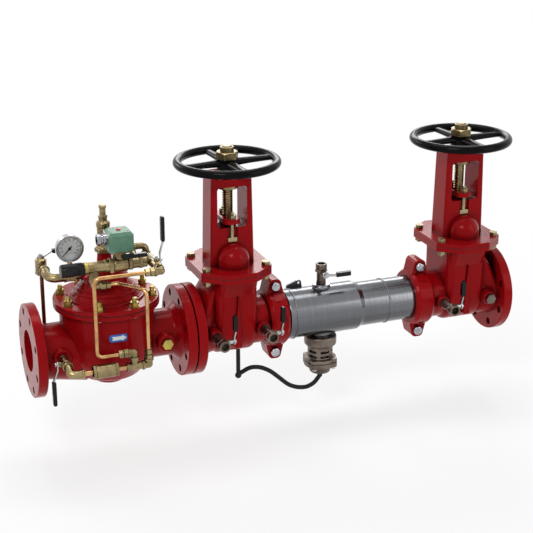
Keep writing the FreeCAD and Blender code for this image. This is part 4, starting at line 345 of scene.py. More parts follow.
class Nodes:
    """Short names for the node-tree calls that the materials below repeat."""

    def __init__(self, tree):
        self.tree = tree

    def add(self, kind, **settings):
        node = self.tree.nodes.new(kind)
        for name, value in settings.items():
            setattr(node, name, value)
        return node

    def link(self, source, target):
        self.tree.links.new(source, target)

    def value(self, socket, value):
        if isinstance(value, bpy.types.NodeSocket):
            self.link(value, socket)
        else:
            socket.default_value = value

    def math(self, operation, first, second=0.0):
        node = self.add("ShaderNodeMath", operation=operation)
        self.value(node.inputs[0], first)
        self.value(node.inputs[1], second)
        return node.outputs[0]

    def place(self):
        return self.add("ShaderNodeTexCoord").outputs["Object"]

    def stretch(self, vector, scale):
        node = self.add("ShaderNodeMapping")
        self.link(vector, node.inputs["Vector"])
        node.inputs["Scale"].default_value = scale
        return node.outputs[0]

    def noise(self, vector, scale, detail=4.0):
        node = self.add("ShaderNodeTexNoise")
        self.link(vector, node.inputs["Vector"])
        node.inputs["Scale"].default_value = scale
        node.inputs["Detail"].default_value = detail
        node.inputs["Roughness"].default_value = NOISE_ROUGHNESS
        return node.outputs[0]

    def spread(self, value, low, high, start=0.0, end=1.0):
        """value from low..high becomes start..end, held at both ends."""
        node = self.add("ShaderNodeMapRange")
        self.link(value, node.inputs[0])
        for socket, number in zip(node.inputs[1:5], (low, high, start, end)):
            self.value(socket, number)
        return node.outputs[0]

    def mix(self, factor, first, second):
        node = self.add("ShaderNodeMix", data_type="RGBA")
        self.value(node.inputs["Factor"], factor)
        first_socket, second_socket = [s for s in node.inputs if s.type == "RGBA"]
        self.value(first_socket, colour_of(first))
        self.value(second_socket, colour_of(second))
        return [s for s in node.outputs if s.type == "RGBA"][0]

    def bump(self, height, distance, normal=None):
        node = self.add("ShaderNodeBump")
        node.inputs["Strength"].default_value = 1.0
        node.inputs["Distance"].default_value = distance
        self.link(height, node.inputs["Height"])
        if normal is not None:
            self.link(normal, node.inputs["Normal"])
        return node.outputs[0]

    def paint_shade(self, distance, low, high, shade_tone, open_tone):
        """Painted shade: the open tone out in the light, and a dark shade tone painted where other surfaces
        stand close.
        """
        occlusion = self.add("ShaderNodeAmbientOcclusion", samples=SHADE_SAMPLES)
        occlusion.inputs["Distance"].default_value = distance
        return self.mix(self.spread(occlusion.outputs["AO"], low, high), shade_tone, open_tone)

    def uneven(self, pattern, roughness, shares):
        """A roughness that wanders between two shares of its middle value."""
        return self.spread(pattern, *GLOSS_BAND, *[roughness * share for share in shares])


def colour_of(value):
    """A three-part colour with its alpha added, or a socket as it is."""
    if isinstance(value, bpy.types.NodeSocket):
        return value
    return (*value, 1.0)


def srgb(red, green, blue):
    """A colour as read on the screen, 0 to 255, in the renderer's linear terms."""
    parts = [part / 255 for part in (red, green, blue)]
    return tuple(p / 12.92 if p <= 0.04045 else ((p + 0.055) / 1.055) ** 2.4 for p in parts)


def new_material(name):
    material = bpy.data.materials.new(name)
    material.use_nodes = True
    n = Nodes(material.node_tree)
    surface = material.node_tree.nodes["Principled BSDF"]
    return material, n, surface


def painted(name, colour, shade_tone, sheen, roughness, peel, coat, gleam):
    """Enamel on a casting: patches in the tone, orange peel, and painted shade that darkens it where other
    surfaces stand close.
    """
    material, n, surface = new_material(name)
    place = n.place()
    patches = n.spread(n.noise(place, PAINT_PATCH_SCALE), *PATCH_BAND)
    shade = n.mix(patches, colour, [part * PAINT_PATCH_TONE for part in colour])
    # Painted shade: the enamel turns to its dark shade tone where other surfaces stand close
    tone = n.paint_shade(PAINT_SHADE_REACH, *PAINT_SHADE_BAND, shade_tone, shade)
    n.link(tone, surface.inputs["Base Color"])
    gloss = n.uneven(n.noise(place, PAINT_GLOSS_SCALE), roughness, PAINT_GLOSS_SHARES)
    n.link(gloss, surface.inputs["Roughness"])
    coarse = n.bump(n.noise(place, PEEL_SCALE, SMOOTH_DETAIL), peel)
    fine = n.bump(n.noise(place, PEEL_FINE_SCALE, SMOOTH_DETAIL), peel * PEEL_FINE_SHARE, normal=coarse)
    n.link(fine, surface.inputs["Normal"])
    surface.inputs["Specular IOR Level"].default_value = gleam
    surface.inputs["Specular Tint"].default_value = (*sheen, 1.0)
    surface.inputs["Coat Weight"].default_value = coat
    surface.inputs["Coat Roughness"].default_value = PAINT_COAT_ROUGHNESS
    return material


def metal(name, colour, tint, roughness, grain):
    """Bare or plated metal: a second tone in patches, painted shade that darkens it where other surfaces
    stand close, and a grain.
    """
    material, n, surface = new_material(name)
    place = n.place()
    patches = n.spread(n.noise(place, METAL_PATCH_SCALE), *METAL_PATCH_BAND)
    shade = n.mix(patches, colour, tint)
    # Painted shade: a darkened copy of the tint where other surfaces stand close
    shade_tint = [part * METAL_SHADE_SHARE for part in tint]
    tone = n.paint_shade(METAL_SHADE_REACH, *METAL_SHADE_BAND, shade_tint, shade)
    n.link(tone, surface.inputs["Base Color"])
    gloss = n.uneven(n.noise(place, METAL_GLOSS_SCALE), roughness, METAL_GLOSS_SHARES)
    n.link(gloss, surface.inputs["Roughness"])
    n.link(n.bump(n.noise(place, METAL_GRAIN_SCALE, 3.0), grain), surface.inputs["Normal"])
    surface.inputs["Metallic"].default_value = 1.0
    return material


def brushed():
    """Stainless tube, polished on a lathe: fine rings round the axis and soft broad streaks along it."""
    material, n, surface = new_material("brushed_stainless")
    place = n.place()
    rings = n.noise(n.stretch(place, BRUSHED_RINGS), 3.0, 3.0)
    broad = n.noise(n.stretch(place, BRUSHED_STREAKS), 2.2, SMOOTH_DETAIL)
    tone = n.mix(n.spread(broad, 0.35, 0.65), srgb(96, 97, 100), srgb(126, 127, 130))
    dark_share = n.spread(rings, *GLOSS_BAND, 0.0, BRUSHED_DARK_SHARE)
    n.link(n.mix(dark_share, tone, srgb(80, 81, 85)), surface.inputs["Base Color"])
    n.link(n.spread(rings, *GLOSS_BAND, *BRUSHED_ROUGHNESS), surface.inputs["Roughness"])
    n.link(n.bump(rings, BRUSHED_DEPTH), surface.inputs["Normal"])
    surface.inputs["Metallic"].default_value = 1.0
    return material


def moulded(name, colour, lighter, roughness, grain, coat=0.0):
    """Plastic or rubber: a faint second tone, fine grain and uneven gloss."""
    material, n, surface = new_material(name)
    place = n.place()
    patches = n.spread(n.noise(place, MOULDED_PATCH_SCALE), *PATCH_BAND)
    n.link(n.mix(patches, colour, lighter), surface.inputs["Base Color"])
    gloss = n.uneven(n.noise(place, MOULDED_GLOSS_SCALE), roughness, MOULDED_GLOSS_SHARES)
    n.link(gloss, surface.inputs["Roughness"])
    n.link(n.bump(n.noise(place, MOULDED_GRAIN_SCALE, SMOOTH_DETAIL), grain), surface.inputs["Normal"])
    surface.inputs["Specular IOR Level"].default_value = MOULDED_GLEAM
    surface.inputs["Coat Weight"].default_value = coat
    return material


def make_materials():
    """Every finish by its slot: its two tones, then its roughness and the depth of its grain."""
    return {
        # The enamels' second colour is their painted shade tone, used where other surfaces stand close
        "red_casting": painted("red_enamel", srgb(144, 9, 15), srgb(34, 3, 6), srgb(255, 120, 120),
                               0.22, 0.0003, 0.06, 0.16),
        "black_wheel": painted("black_enamel", srgb(7, 7, 8), srgb(3, 3, 4), srgb(225, 225, 230),
                               0.2, 0.0001, 0.02, 0.08),
        "brass": metal("turned_brass", srgb(156, 139, 102), srgb(110, 96, 68), 0.30, 0.0002),
        "bronze_grey": metal("dull_bronze", srgb(126, 114, 104), srgb(86, 76, 68), 0.38, 0.0003),
        "copper": metal("bent_tube", srgb(206, 164, 112), srgb(168, 124, 82), 0.24, 0.00005),
        "riser_brown": metal("dark_riser", srgb(132, 84, 58), srgb(96, 60, 44), 0.34, 0.0001),
        "stainless": brushed(),
        "zinc_yellow": metal("yellow_zinc", srgb(186, 166, 84), srgb(146, 132, 84), 0.34, 0.0001),
        "bolt_steel": metal("zinc_steel", srgb(166, 152, 116), srgb(130, 118, 92), 0.36, 0.0001),
        "lamp_red": moulded("red_lamp", srgb(196, 22, 26), srgb(214, 40, 40), 0.25, 0.00003, 0.5),
        "indicator_rod": metal("pale_rod", srgb(206, 206, 202), srgb(180, 180, 178), 0.2, 0.00003),
        "chrome_bolt": metal("bright_plate", srgb(176, 177, 182), srgb(140, 141, 148), 0.16, 0.00003),
        "lever_steel": metal("lever_plate", srgb(190, 190, 190), srgb(160, 160, 160), 0.3, 0.0001),
        "black_rubber": moulded("matte_rubber", srgb(16, 16, 17), srgb(26, 26, 27), 0.5, 0.0002),
        "black_plastic": moulded("black_moulding", srgb(8, 8, 9), srgb(14, 14, 15), 0.2, 0.00005, 0.1),
        "black_grip": moulded("vinyl_grip", srgb(8, 8, 9), srgb(13, 13, 14), 0.26, 0.0001, 0.05),
        "coil_green": moulded("green_epoxy", srgb(84, 122, 100), srgb(98, 136, 114), 0.42, 0.0002, 0.1),
        "gauge_steel": metal("polished_case", srgb(200, 200, 204), srgb(180, 180, 186), 0.16, 0.00003),
        "spring_steel": metal("spring_wire", srgb(170, 170, 176), srgb(140, 140, 148), 0.3, 0.0001),
        "inner_steel": metal("machined_steel", srgb(186, 186, 190), srgb(160, 160, 166), 0.28, 0.0001),
    }


def plate_material():
    """Blue plate with a broad white arrow, notched at its tail, that points with the flow."""
    material, n, surface = new_material("blue_plate")
    parts = n.add("ShaderNodeSeparateXYZ")
    n.link(n.place(), parts.inputs[0])
    across = n.math("SUBTRACT", parts.outputs["X"], PLATE_CENTRE[0])
    along = n.math("DIVIDE", across, PLATE_HALF[0])
    above = n.math("ABSOLUTE", n.math("SUBTRACT", parts.outputs["Z"], PLATE_CENTRE[1]))
    beside = n.math("DIVIDE", above, PLATE_HALF[1])
    notch = n.math("MULTIPLY", n.math("SUBTRACT", 1.0, beside), ARROW_NOTCH)
    past_tail = n.math("GREATER_THAN", n.math("SUBTRACT", along, notch), ARROW_TAIL)
    before_neck = n.math("LESS_THAN", along, ARROW_NECK)
    slim = n.math("LESS_THAN", beside, ARROW_SHAFT)
    shaft = n.math("MULTIPLY", slim, n.math("MULTIPLY", past_tail, before_neck))
    head_half = n.math("MULTIPLY", n.math("SUBTRACT", ARROW_TIP, along), ARROW_SLOPE)
    past_neck = n.math("SUBTRACT", 1.0, before_neck)
    head = n.math("MULTIPLY", n.math("LESS_THAN", beside, head_half), past_neck)
    arrow = n.math("MAXIMUM", shaft, head)
    blue = n.mix(n.noise(n.place(), PLATE_TONE_SCALE), srgb(20, 84, 176), srgb(36, 102, 190))
    n.link(n.mix(arrow, blue, srgb(226, 230, 232)), surface.inputs["Base Color"])
    n.link(n.bump(arrow, PLATE_PRINT_HEIGHT), surface.inputs["Normal"])
    surface.inputs["Roughness"].default_value = PLATE_ROUGHNESS
    return material


def dial_material():
    """Pale grey printed dial, a little darker towards its rim."""
    material, n, surface = new_material("dial_print")
    away = n.add("ShaderNodeVectorMath", operation="DISTANCE")
    n.link(n.place(), away.inputs[0])
    away.inputs[1].default_value = (GAUGE_CENTRE[0], DIAL_FACE_Y, GAUGE_CENTRE[1])
    rim = n.spread(away.outputs["Value"], DIAL_RADIUS * DIAL_RIM_SHARE, DIAL_RADIUS)
    n.link(n.mix(rim, srgb(206, 208, 208), srgb(170, 173, 174)), surface.inputs["Base Color"])
    surface.inputs["Roughness"].default_value = DIAL_ROUGHNESS
    return material


def glass_material():
    """Clear window with a faint smudge in its gloss."""
    material, n, surface = new_material("gauge_glass")
    surface.inputs["Base Color"].default_value = (1.0, 1.0, 1.0, 1.0)
    surface.inputs["Transmission Weight"].default_value = 1.0
    surface.inputs["IOR"].default_value = GLASS_IOR
    smudge = n.spread(n.noise(n.place(), GLASS_SMUDGE_SCALE), 0.4, 0.7, *GLASS_ROUGHNESS)
    n.link(smudge, surface.inputs["Roughness"])
    return material


def add_piece(name, mesh, material, body, slot):
    """A new visible piece that rides on a body; its flat joints stay sharp and its curves smooth."""
    mesh.shade_smooth()
    mesh.set_sharp_from_angle(angle=math.radians(SHARP_ANGLE))
    mesh.materials.append(material)
    piece = bpy.data.objects.new(name, mesh)
    bpy.context.scene.collection.objects.link(piece)
    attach(piece, body)
    return piece


def mesh_of(name, form):
    """A mesh with all its faces turned outward, made of a form that isn't needed any more."""
    bmesh.ops.recalc_face_normals(form, faces=form.faces)
    mesh = bpy.data.meshes.new(name)
    form.to_mesh(mesh)
    form.free()
    return mesh


def grid_mesh(name, rows, closed_across=True):
    """Quads between neighbouring rows of points; each row may close on itself."""
    form = bmesh.new()
    rings = [[form.verts.new(point) for point in row] for row in rows]
    count = len(rings[0])
    for lower, upper in zip(rings, rings[1:]):
        for index in range(count if closed_across else count - 1):
            after = (index + 1) % count
            form.faces.new((lower[index], lower[after], upper[after], upper[index]))
    return mesh_of(name, form)


def drum_mesh(name, rows):
    """Rows that close on themselves, with the first and the last one filled."""
    mesh = grid_mesh(name, rows)
    count = len(rows[0])
    last = (len(rows) - 1) * count
    cap_ends(mesh, range(count), range(last, last + count))
    return mesh


def round_axis(start, axis):
    """A function that places a point by its distance along an axis, its angle round it and its reach."""
    axis = Vector(axis).normalized()
    across = axis.orthogonal().normalized()
    beside = axis.cross(across)

    def place(distance, angle, reach):
        outward = across * math.cos(angle) + beside * math.sin(angle)
        return Vector(start) + axis * distance + outward * reach

    return place


def angles(count):
    """The angles of count even steps round a circle."""
    return [2 * math.pi * index / count for index in range(count)]


def cap_ends(mesh, *rings):
    """Closes each of the given rings of vertex numbers with one face."""
    form = bmesh.new()
    form.from_mesh(mesh)
    form.verts.ensure_lookup_table()
    for ring in rings:
        form.faces.new([form.verts[index] for index in ring])
    bmesh.ops.recalc_face_normals(form, faces=form.faces)
    form.to_mesh(mesh)
    form.free()


def thread_radius(turn, height, root, crest, pitch):
    """Trapezoid thread: how far out the surface lies at this turn (0 to 1) and height."""
    phase = (height / pitch - turn) % 1.0
    if phase < THREAD_RAMP:
        share = phase / THREAD_RAMP
    elif phase < THREAD_RAMP + THREAD_CREST:
        share = 1.0
    elif phase < 2 * THREAD_RAMP + THREAD_CREST:
        share = 1.0 - (phase - THREAD_RAMP - THREAD_CREST) / THREAD_RAMP
    else:
        share = 0.0
    return root + (crest - root) * share


def stem_rows(steps, rows_per_pitch):
    """Height and radius round the stem, row by row from its foot to its top."""
    plain = [(STEM_FOOT, STEM_HEAD_RADIUS), (STEM_HEAD_TOP, STEM_HEAD_RADIUS), (STEM_NECK, STEM_RADIUS),
             (STEM_THREAD_START - STEM_RUN_IN, STEM_RADIUS), (STEM_THREAD_START, STEM_ROOT_RADIUS)]
    rows = [[point] * steps for point in plain]
    step = STEM_PITCH / rows_per_pitch
    count = int((STEM_TOP - STEM_RUN_OUT - STEM_THREAD_START) / step)
    for index in range(1, count):
        height = STEM_THREAD_START + index * step
        row = []
        for turn in range(steps):
            radius = thread_radius(turn / steps, height, STEM_ROOT_RADIUS, STEM_RADIUS, STEM_PITCH)
            row.append((height, radius))
        rows.append(row)
    rows.append([(STEM_TOP - STEM_CHAMFER, STEM_ROOT_RADIUS)] * steps)
    rows.append([(STEM_TOP, STEM_ROOT_RADIUS - STEM_CHAMFER)] * steps)
    return rows


def add_stem(number, steps=48, rows_per_pitch=12):
    """Rising stem: T head, plain shank through the packing and an outside trapezoid thread."""
    points = []
    for row in stem_rows(steps, rows_per_pitch):
        ring = []
        for angle, (height, radius) in zip(angles(steps), row):
            ring.append((STEM_X[number] + radius * math.cos(angle), radius * math.sin(angle), height))
        points.append(ring)
    name = "threaded_stem_" + number
    stem = add_piece(name, drum_mesh(name, points), MATERIALS["brass"], "stem_assembly_" + number, "brass")
    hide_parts("gate_stem_" + number)


def dial_point(turn, radius, y):
    """A point on the dial: turn in degrees clockwise from straight up, seen from the front."""
    angle = math.radians(turn)
    return (GAUGE_CENTRE[0] + radius * math.sin(angle), y, GAUGE_CENTRE[1] + radius * math.cos(angle))


def dial_ring(radius, y):
    """A closed row of points round the gauge's axis."""
    return [dial_point(360 * index / DIAL_PIECES, radius, y) for index in range(DIAL_PIECES)]


def add_dial():
    """Flat printed face of the gauge."""
    across = (DIAL_CENTRE_RADIUS, DIAL_RADIUS * 0.5, DIAL_RADIUS)
    mesh = grid_mesh("gauge_dial", [dial_ring(radius, DIAL_FACE_Y) for radius in across])
    cap_ends(mesh, range(DIAL_PIECES))
    add_piece("gauge_dial", mesh, dial_material(), "frame", "gauge_steel")


def add_dial_marks():
    """Raised graduation marks, longer at each number."""
    form = bmesh.new()
    marks = DIAL_STEPS * DIAL_MINOR
    outer = DIAL_RADIUS * DIAL_MARK_END
    for index in range(marks + 1):
        turn = DIAL_START_TURN + DIAL_SWEEP * index / marks
        major = index % DIAL_MINOR == 0
        inner = DIAL_RADIUS * (DIAL_LONG_MARK if major else DIAL_SHORT_MARK)
        half = DIAL_LONG_HALF_TURN if major else DIAL_SHORT_HALF_TURN
        corners = ((turn - half, inner), (turn + half, inner), (turn + half, outer), (turn - half, outer))
        low = [form.verts.new(dial_point(*corner, DIAL_FACE_Y)) for corner in corners]
        high = [form.verts.new(dial_point(*corner, DIAL_FACE_Y - DIAL_MARK_HEIGHT)) for corner in corners]
        form.faces.new(high)
        for side in range(4):
            after = (side + 1) % 4
            form.faces.new((low[side], low[after], high[after], high[side]))
    mesh = mesh_of("gauge_marks", form)
    add_piece("gauge_marks", mesh, MATERIALS["black_plastic"], "frame", "black_plastic")


def add_dial_numbers():
    """Plain numbers just inside the long marks."""
    circle = DIAL_RADIUS * DIAL_NUMBER_CIRCLE
    for index in range(DIAL_STEPS + 1):
        turn = DIAL_START_TURN + DIAL_SWEEP * index / DIAL_STEPS
        text = bpy.data.curves.new("gauge_number_%d" % index, "FONT")
        text.body = str(index * DIAL_STEP_VALUE)
        text.size = DIAL_NUMBER_SIZE
        text.extrude = DIAL_NUMBER_HEIGHT
        text.align_x = "CENTER"
        text.align_y = "CENTER"
        text.materials.append(MATERIALS["black_plastic"])
        number = bpy.data.objects.new("gauge_number_%d" % index, text)
        number.location = dial_point(turn, circle, DIAL_FACE_Y - DIAL_MARK_HEIGHT)
        number.rotation_euler = (math.radians(90), 0, 0)
        bpy.context.scene.collection.objects.link(number)
        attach(number, "frame")


def add_window():
    """The clear disc over the dial."""
    across = (DIAL_CENTRE_RADIUS, DIAL_RADIUS * 0.6, DIAL_RADIUS)
    rings = [dial_ring(radius, GLASS_Y) for radius in across]
    rings += [dial_ring(radius, GLASS_Y + GLASS_THICKNESS) for radius in reversed(across)]
    add_piece("gauge_window", drum_mesh("gauge_window", rings), glass_material(), "frame", "gauge_steel")


def add_gauge_face():
    """Dial, graduation marks, plain numbers and the window over them."""
    add_dial()
    add_dial_marks()
    add_dial_numbers()
    add_window()


def drop_on(node, x, z, lift):
    """The point straight behind (x, z), seen from the front, on a node's surface, lifted off it."""
    hit, place, normal, _ = NODES[node].ray_cast(Vector((x, -1.0, z)), Vector((0, 1, 0)))
    if not hit:
        raise ValueError("nothing behind %.3f %.3f" % (x, z))
    return place + normal * lift


def add_flow_plate(columns=28, rows=12):
    """Thin plate bent to the body's curve, with rounded corners."""
    def point(column, row, lift):
        across = 2 * column / columns - 1
        up = 2 * row / rows - 1
        near_edge = max(0.0, abs(up) - PLATE_CORNER_START) / (1.0 - PLATE_CORNER_START)
        corner = 1.0 - PLATE_CORNER_INSET * near_edge
        return drop_on("control_valve_body", PLATE_CENTRE[0] + PLATE_HALF[0] * across * corner,
                       PLATE_CENTRE[1] + PLATE_HALF[1] * up, lift)

    grid = []
    for row in range(rows + 1):
        grid.append([point(column, row, PLATE_THICKNESS) for column in range(columns + 1)])
    mesh = grid_mesh("flow_plate", grid, closed_across=False)
    plate = add_piece("flow_plate", mesh, plate_material(), "frame", "gauge_steel")
    solid = plate.modifiers.new("thickness", "SOLIDIFY")
    solid.thickness = PLATE_THICKNESS
    solid.offset = 1.0 if mesh.polygons[0].normal.y > 0 else -1.0


def add_weld_bead(name, centre, axis, radius, bead, ripples, steps_per_ripple=6, sides=10):
    """A welded seam round a tube: a flattened ring with even ripples."""
    place = round_axis(centre, axis)
    rows = []
    for roll in angles(sides):
        row = []
        for angle in angles(ripples * steps_per_ripple):
            swell = 1.0 + WELD_RIPPLE * math.sin(ripples * angle)
            reach = radius + WELD_FLATNESS * bead * swell * math.cos(roll)
            row.append(place(bead * swell * math.sin(roll), angle, reach))
        rows.append(row)
    rows.append(rows[0])
    add_piece(name, grid_mesh(name, rows), MATERIALS["stainless"], "frame", "stainless")


def add_thread_ring(name, start, axis, radius, length, pitch, body, slot, steps=24, rows_per_pitch=6):
    """The outside thread of a stud or nipple, as a sleeve over its plain shank."""
    place = round_axis(start, axis)
    depth = pitch * FINE_THREAD_DEPTH
    root = radius - depth * FINE_THREAD_INWARD
    crest = radius + depth * (1.0 - FINE_THREAD_INWARD)
    rows = []
    for index in range(int(length / pitch * rows_per_pitch) + 1):
        height = index * pitch / rows_per_pitch
        row = []
        for turn, angle in enumerate(angles(steps)):
            reach = thread_radius(turn / steps, height, root, crest, pitch)
            row.append(place(height, angle, reach))
        rows.append(row)
    mesh = grid_mesh(name, rows)
    last = (len(rows) - 1) * steps
    cap_ends(mesh, range(last, last + steps))
    return add_piece(name, mesh, MATERIALS[slot], body, slot)


def add_turned(name, start, axis, profile, sides, slot, body="frame"):
    """A ring of sides round an axis through (distance, radius) points, closed at both ends."""
    place = round_axis(start, axis)
    rows = []
    for distance, radius in profile:
        rows.append([place(distance, angle, radius) for angle in angles(sides)])
    return add_piece(name, drum_mesh(name, rows), MATERIALS[slot], body, slot)


def add_hexagon(name, start, axis, flats, length, edge, slot, body="frame"):
    """A hexagon with its edges taken off, given by the distance across its flats."""
    profile = edge_profile(flats / math.sqrt(3), length, edge)
    return add_turned(name, start, axis, profile, 6, slot, body)


def add_cap_details(steps_per_rib=8):
    """Ribs round the adjusting cap's free end and the black hexagon beside the ring."""
    y, z = CAP_AXIS
    rows = []
    for x, share in CAP_PROFILE:
        row = []
        for angle in angles(CAP_RIB_COUNT * steps_per_rib):
            wave = 0.5 + 0.5 * math.cos(CAP_RIB_COUNT * angle)
            radius = CAP_RADIUS + CAP_RIB_HEIGHT * share * wave
            row.append((x, y + radius * math.cos(angle), z + radius * math.sin(angle)))
        rows.append(row)
    mesh = drum_mesh("cap_ribs", rows)
    add_piece("cap_ribs", mesh, MATERIALS["black_plastic"], "adjusting_cap", "black_plastic")
    add_hexagon("cap_hexagon", (CAP_HEXAGON_X, y, z), (1, 0, 0), CAP_HEXAGON_FLATS, CAP_HEXAGON_LENGTH,
                CAP_HEXAGON_EDGE, "black_plastic", "adjusting_cap")


def add_lamp():
    """Domed red lamp on the coil."""
    lamp = add_turned("coil_lamp", LAMP_PLACE, (0, 0, 1), LAMP_PROFILE, LAMP_SIDES, "coil_green")
    lamp.data.materials[0] = MATERIALS["lamp_red"]


def edge_profile(radius, length, share):
    """A plain drum with its two edges taken off by a share of its length."""
    edge = length * share
    return ((0.0, radius - edge), (edge, radius), (length - edge, radius), (length, radius - edge))


def add_fitting_details():
    """Hexagons, beads and an outside thread on the small fittings, and the ends of the test cocks."""
    for index, (start, axis, flats, length, slot) in enumerate(HEXAGONS):
        add_hexagon("fitting_hexagon_%d" % index, start, axis, flats, length, HEXAGON_EDGE, slot)
    for index, (start, axis, radius, length, slot) in enumerate(BEADS):
        profile = edge_profile(radius, length, BEAD_EDGE)
        add_turned("fitting_bead_%d" % index, start, axis, profile, BEAD_SIDES, slot)
    for index, (face, flow, length) in enumerate(COCKS):
        start = Vector(face) + Vector(flow) * (length - COCK_END_SETBACK)
        add_hexagon("cock_end_%d" % index, start, flow, COCK_END_FLATS, COCK_END_LENGTH, COCK_END_EDGE,
                    "bronze_grey")
    add_thread_ring("fitting_thread_0", *SUPPLY_THREAD, "frame", "bronze_grey")


def add_cover_rings(steps=96, sides=10):
    """Low ring steps cast round the cover's cone."""
    for number, (radius, height) in enumerate(COVER_RINGS):
        rows = []
        for roll in [*angles(sides), 2 * math.pi]:
            reach = radius + COVER_RING_STEP * math.cos(roll)
            level = height + COVER_RING_STEP * math.sin(roll)
            row = []
            for angle in angles(steps):
                row.append((CONTROL_X + reach * math.cos(angle), reach * math.sin(angle), level))
            rows.append(row)
        name = "cover_ring_%d" % number
        add_piece(name, grid_mesh(name, rows), MATERIALS["red_casting"], "frame", "red_casting")


def add_cover_threads():
    """Threaded ends of the eight cover studs above their nuts."""
    length = COVER_STUD_TOP - COVER_NUT_TOP
    for index in range(COVER_STUD_COUNT):
        angle = math.radians(COVER_STUD_TURN + 360.0 * index / COVER_STUD_COUNT)
        x = CONTROL_X + COVER_STUD_CIRCLE * math.cos(angle)
        y = COVER_STUD_CIRCLE * math.sin(angle)
        add_thread_ring("cover_thread_%d" % index, (x, y, COVER_NUT_TOP), (0, 0, 1), COVER_STUD_RADIUS,
                        length, COVER_STUD_PITCH, "frame", "zinc_yellow")


def add_welds():
    """Seams at both ends of the wide barrel and round the two ports."""
    for name, centre, axis, radius, bead, ripples in WELDS:
        add_weld_bead(name, centre, axis, radius, bead, ripples)


def copy_of(node):
    """A piece with the form and finish of a node, which it stands for."""
    piece = bpy.data.objects.new(node + "_soft", NODES[node].data.copy())
    bpy.context.scene.collection.objects.link(piece)
    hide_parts(node)
    return piece


def add_soft_pieces():
    """The main spring gets a mesh of its own on the frame, the diaphragm's copy is baked where it stands,
    and the relief spring rides along with the relief plug.
    """
    spring = copy_of("main_spring")
    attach(spring, "frame")
    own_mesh(spring)
    diaphragm = copy_of("main_diaphragm")
    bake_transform(diaphragm)
    relief = copy_of("relief_spring")
    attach(relief, "relief_plug")


def add_pieces():
    """Every piece that the solids don't have, each on the body that carries it."""
    for number in STEM_X:
        add_stem(number)
    add_gauge_face()
    add_flow_plate()
    add_cover_threads()
    add_welds()
    add_fitting_details()
    add_cover_rings()
    add_cap_details()
    add_lamp()
    add_soft_pieces()


def paint_faces(node, low, high, material):
    """Gives the faces of a node whose middle lies in a box a finish of their own."""
    mesh = NODES[node].data
    mesh.materials.append(material)
    slot = len(mesh.materials) - 1
    for face in mesh.polygons:
        if all(a <= c <= b for a, c, b in zip(low, face.center, high)):
            face.material_index = slot


def paint_grip(node, pivot, arm, start, material):
    """The faces of a lever that lie further out along its arm than the grip's start."""
    mesh = NODES[node].data
    mesh.materials.append(material)
    slot = len(mesh.materials) - 1
    for face in mesh.polygons:
        if (face.center - Vector(pivot)).dot(Vector(arm)) > start:
            face.material_index = slot


def dress_nodes(materials):
    """Gives every carried-over node the finish of its slot, grips to its levers and their own finishes to
    the listed boxes of faces.
    """
    for entry in frame["record"]["subparts"]:
        node = NODES[entry["node"]]
        node.data.materials.clear()
        node.data.materials.append(materials[entry["material_slot"]])
    for name, (pivot, arm, start) in LEVERS.items():
        paint_grip(name, pivot, arm, start, materials["black_grip"])
    for node, low, high, finish in REGIONS:
        paint_faces(node, low, high, materials[finish])


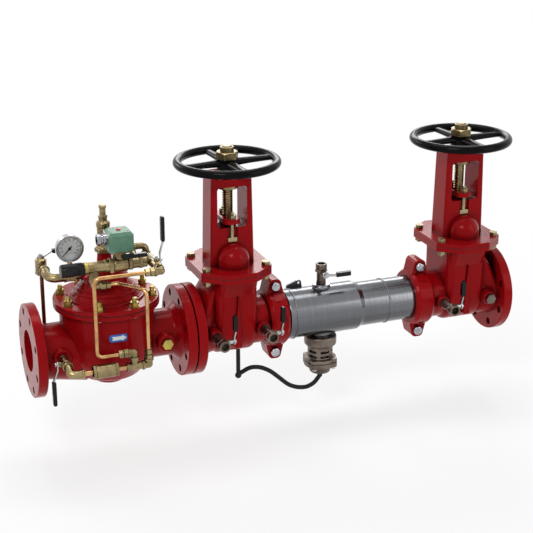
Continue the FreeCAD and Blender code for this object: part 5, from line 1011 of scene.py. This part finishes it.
def floor_material():
    """Matte paper that takes the object's shadow, pure white further out and clear from underneath."""
    material, n, surface = new_material("floor_paper")
    surface.inputs["Roughness"].default_value = 0.9
    surface.inputs["Specular IOR Level"].default_value = 0.1
    paper = n.mix(n.noise(n.place(), FLOOR_GRAIN_SCALE), (0.92, 0.92, 0.92), (0.95, 0.95, 0.95))
    n.link(paper, surface.inputs["Base Color"])
    away = n.add("ShaderNodeVectorMath", operation="LENGTH")
    n.link(n.place(), away.inputs[0])
    far = n.spread(away.outputs["Value"], FLOOR_LIT, FLOOR_WHITE, FLOOR_LIFT, 1.0)
    path = n.add("ShaderNodeLightPath")
    looks = n.math("MAXIMUM", path.outputs["Is Camera Ray"], path.outputs["Is Transmission Ray"])
    seen = n.math("MULTIPLY", far, n.math("MAXIMUM", looks, path.outputs["Is Glossy Ray"]))
    white = n.add("ShaderNodeEmission")
    choose = n.add("ShaderNodeMixShader")
    n.link(seen, choose.inputs[0])
    n.link(surface.outputs[0], choose.inputs[1])
    n.link(white.outputs[0], choose.inputs[2])
    clear = n.add("ShaderNodeMixShader")
    n.link(n.add("ShaderNodeNewGeometry").outputs["Backfacing"], clear.inputs[0])
    n.link(choose.outputs[0], clear.inputs[1])
    n.link(n.add("ShaderNodeBsdfTransparent").outputs[0], clear.inputs[2])
    n.link(clear.outputs[0], n.tree.nodes["Material Output"].inputs["Surface"])
    return material


def add_floor():
    """A wide sheet under the object, which hangs a little above it as in the photograph."""
    level = cad_low[2] - FLOOR_DROP
    mesh = bpy.data.meshes.new("floor")
    form = bmesh.new()
    bmesh.ops.create_grid(form, x_segments=FLOOR_PARTS, y_segments=FLOOR_PARTS, size=FLOOR_SIZE / 2)
    form.to_mesh(mesh)
    form.free()
    floor = bpy.data.objects.new("floor", mesh)
    floor.location = (*FLOOR_CENTRE, level)
    bpy.context.scene.collection.objects.link(floor)
    floor.data.materials.append(floor_material())


def set_world():
    """White where the camera or a mirror-like surface looks past the object, soft grey as light on it."""
    world = bpy.data.worlds.new("studio")
    bpy.context.scene.world = world
    world.use_nodes = True
    n = Nodes(world.node_tree)
    n.tree.nodes.clear()
    path = n.add("ShaderNodeLightPath")
    seen = n.math("MAXIMUM", path.outputs["Is Camera Ray"], path.outputs["Is Transmission Ray"])
    seen = n.math("MAXIMUM", seen, path.outputs["Is Glossy Ray"])
    height = n.add("ShaderNodeSeparateXYZ")
    n.link(n.add("ShaderNodeTexCoord").outputs["Generated"], height.inputs[0])
    sky = n.spread(height.outputs["Z"], *SKY_BAND)
    ambient = n.add("ShaderNodeBackground")
    n.link(n.mix(sky, (0.30, 0.30, 0.31), (1.0, 1.0, 1.0)), ambient.inputs["Color"])
    ambient.inputs["Strength"].default_value = SKY_STRENGTH
    white = n.add("ShaderNodeBackground")
    white.inputs["Color"].default_value = (1.0, 1.0, 1.0, 1.0)
    white.inputs["Strength"].default_value = 1.0
    choose = n.add("ShaderNodeMixShader")
    n.link(seen, choose.inputs[0])
    n.link(ambient.outputs[0], choose.inputs[1])
    n.link(white.outputs[0], choose.inputs[2])
    n.link(choose.outputs[0], n.add("ShaderNodeOutputWorld").inputs["Surface"])


bpy.context.scene.view_settings.view_transform = "Standard"
add_camera()
MATERIALS = make_materials()
dress_nodes(MATERIALS)
add_pieces()
add_floor()
set_world()
add_lights()
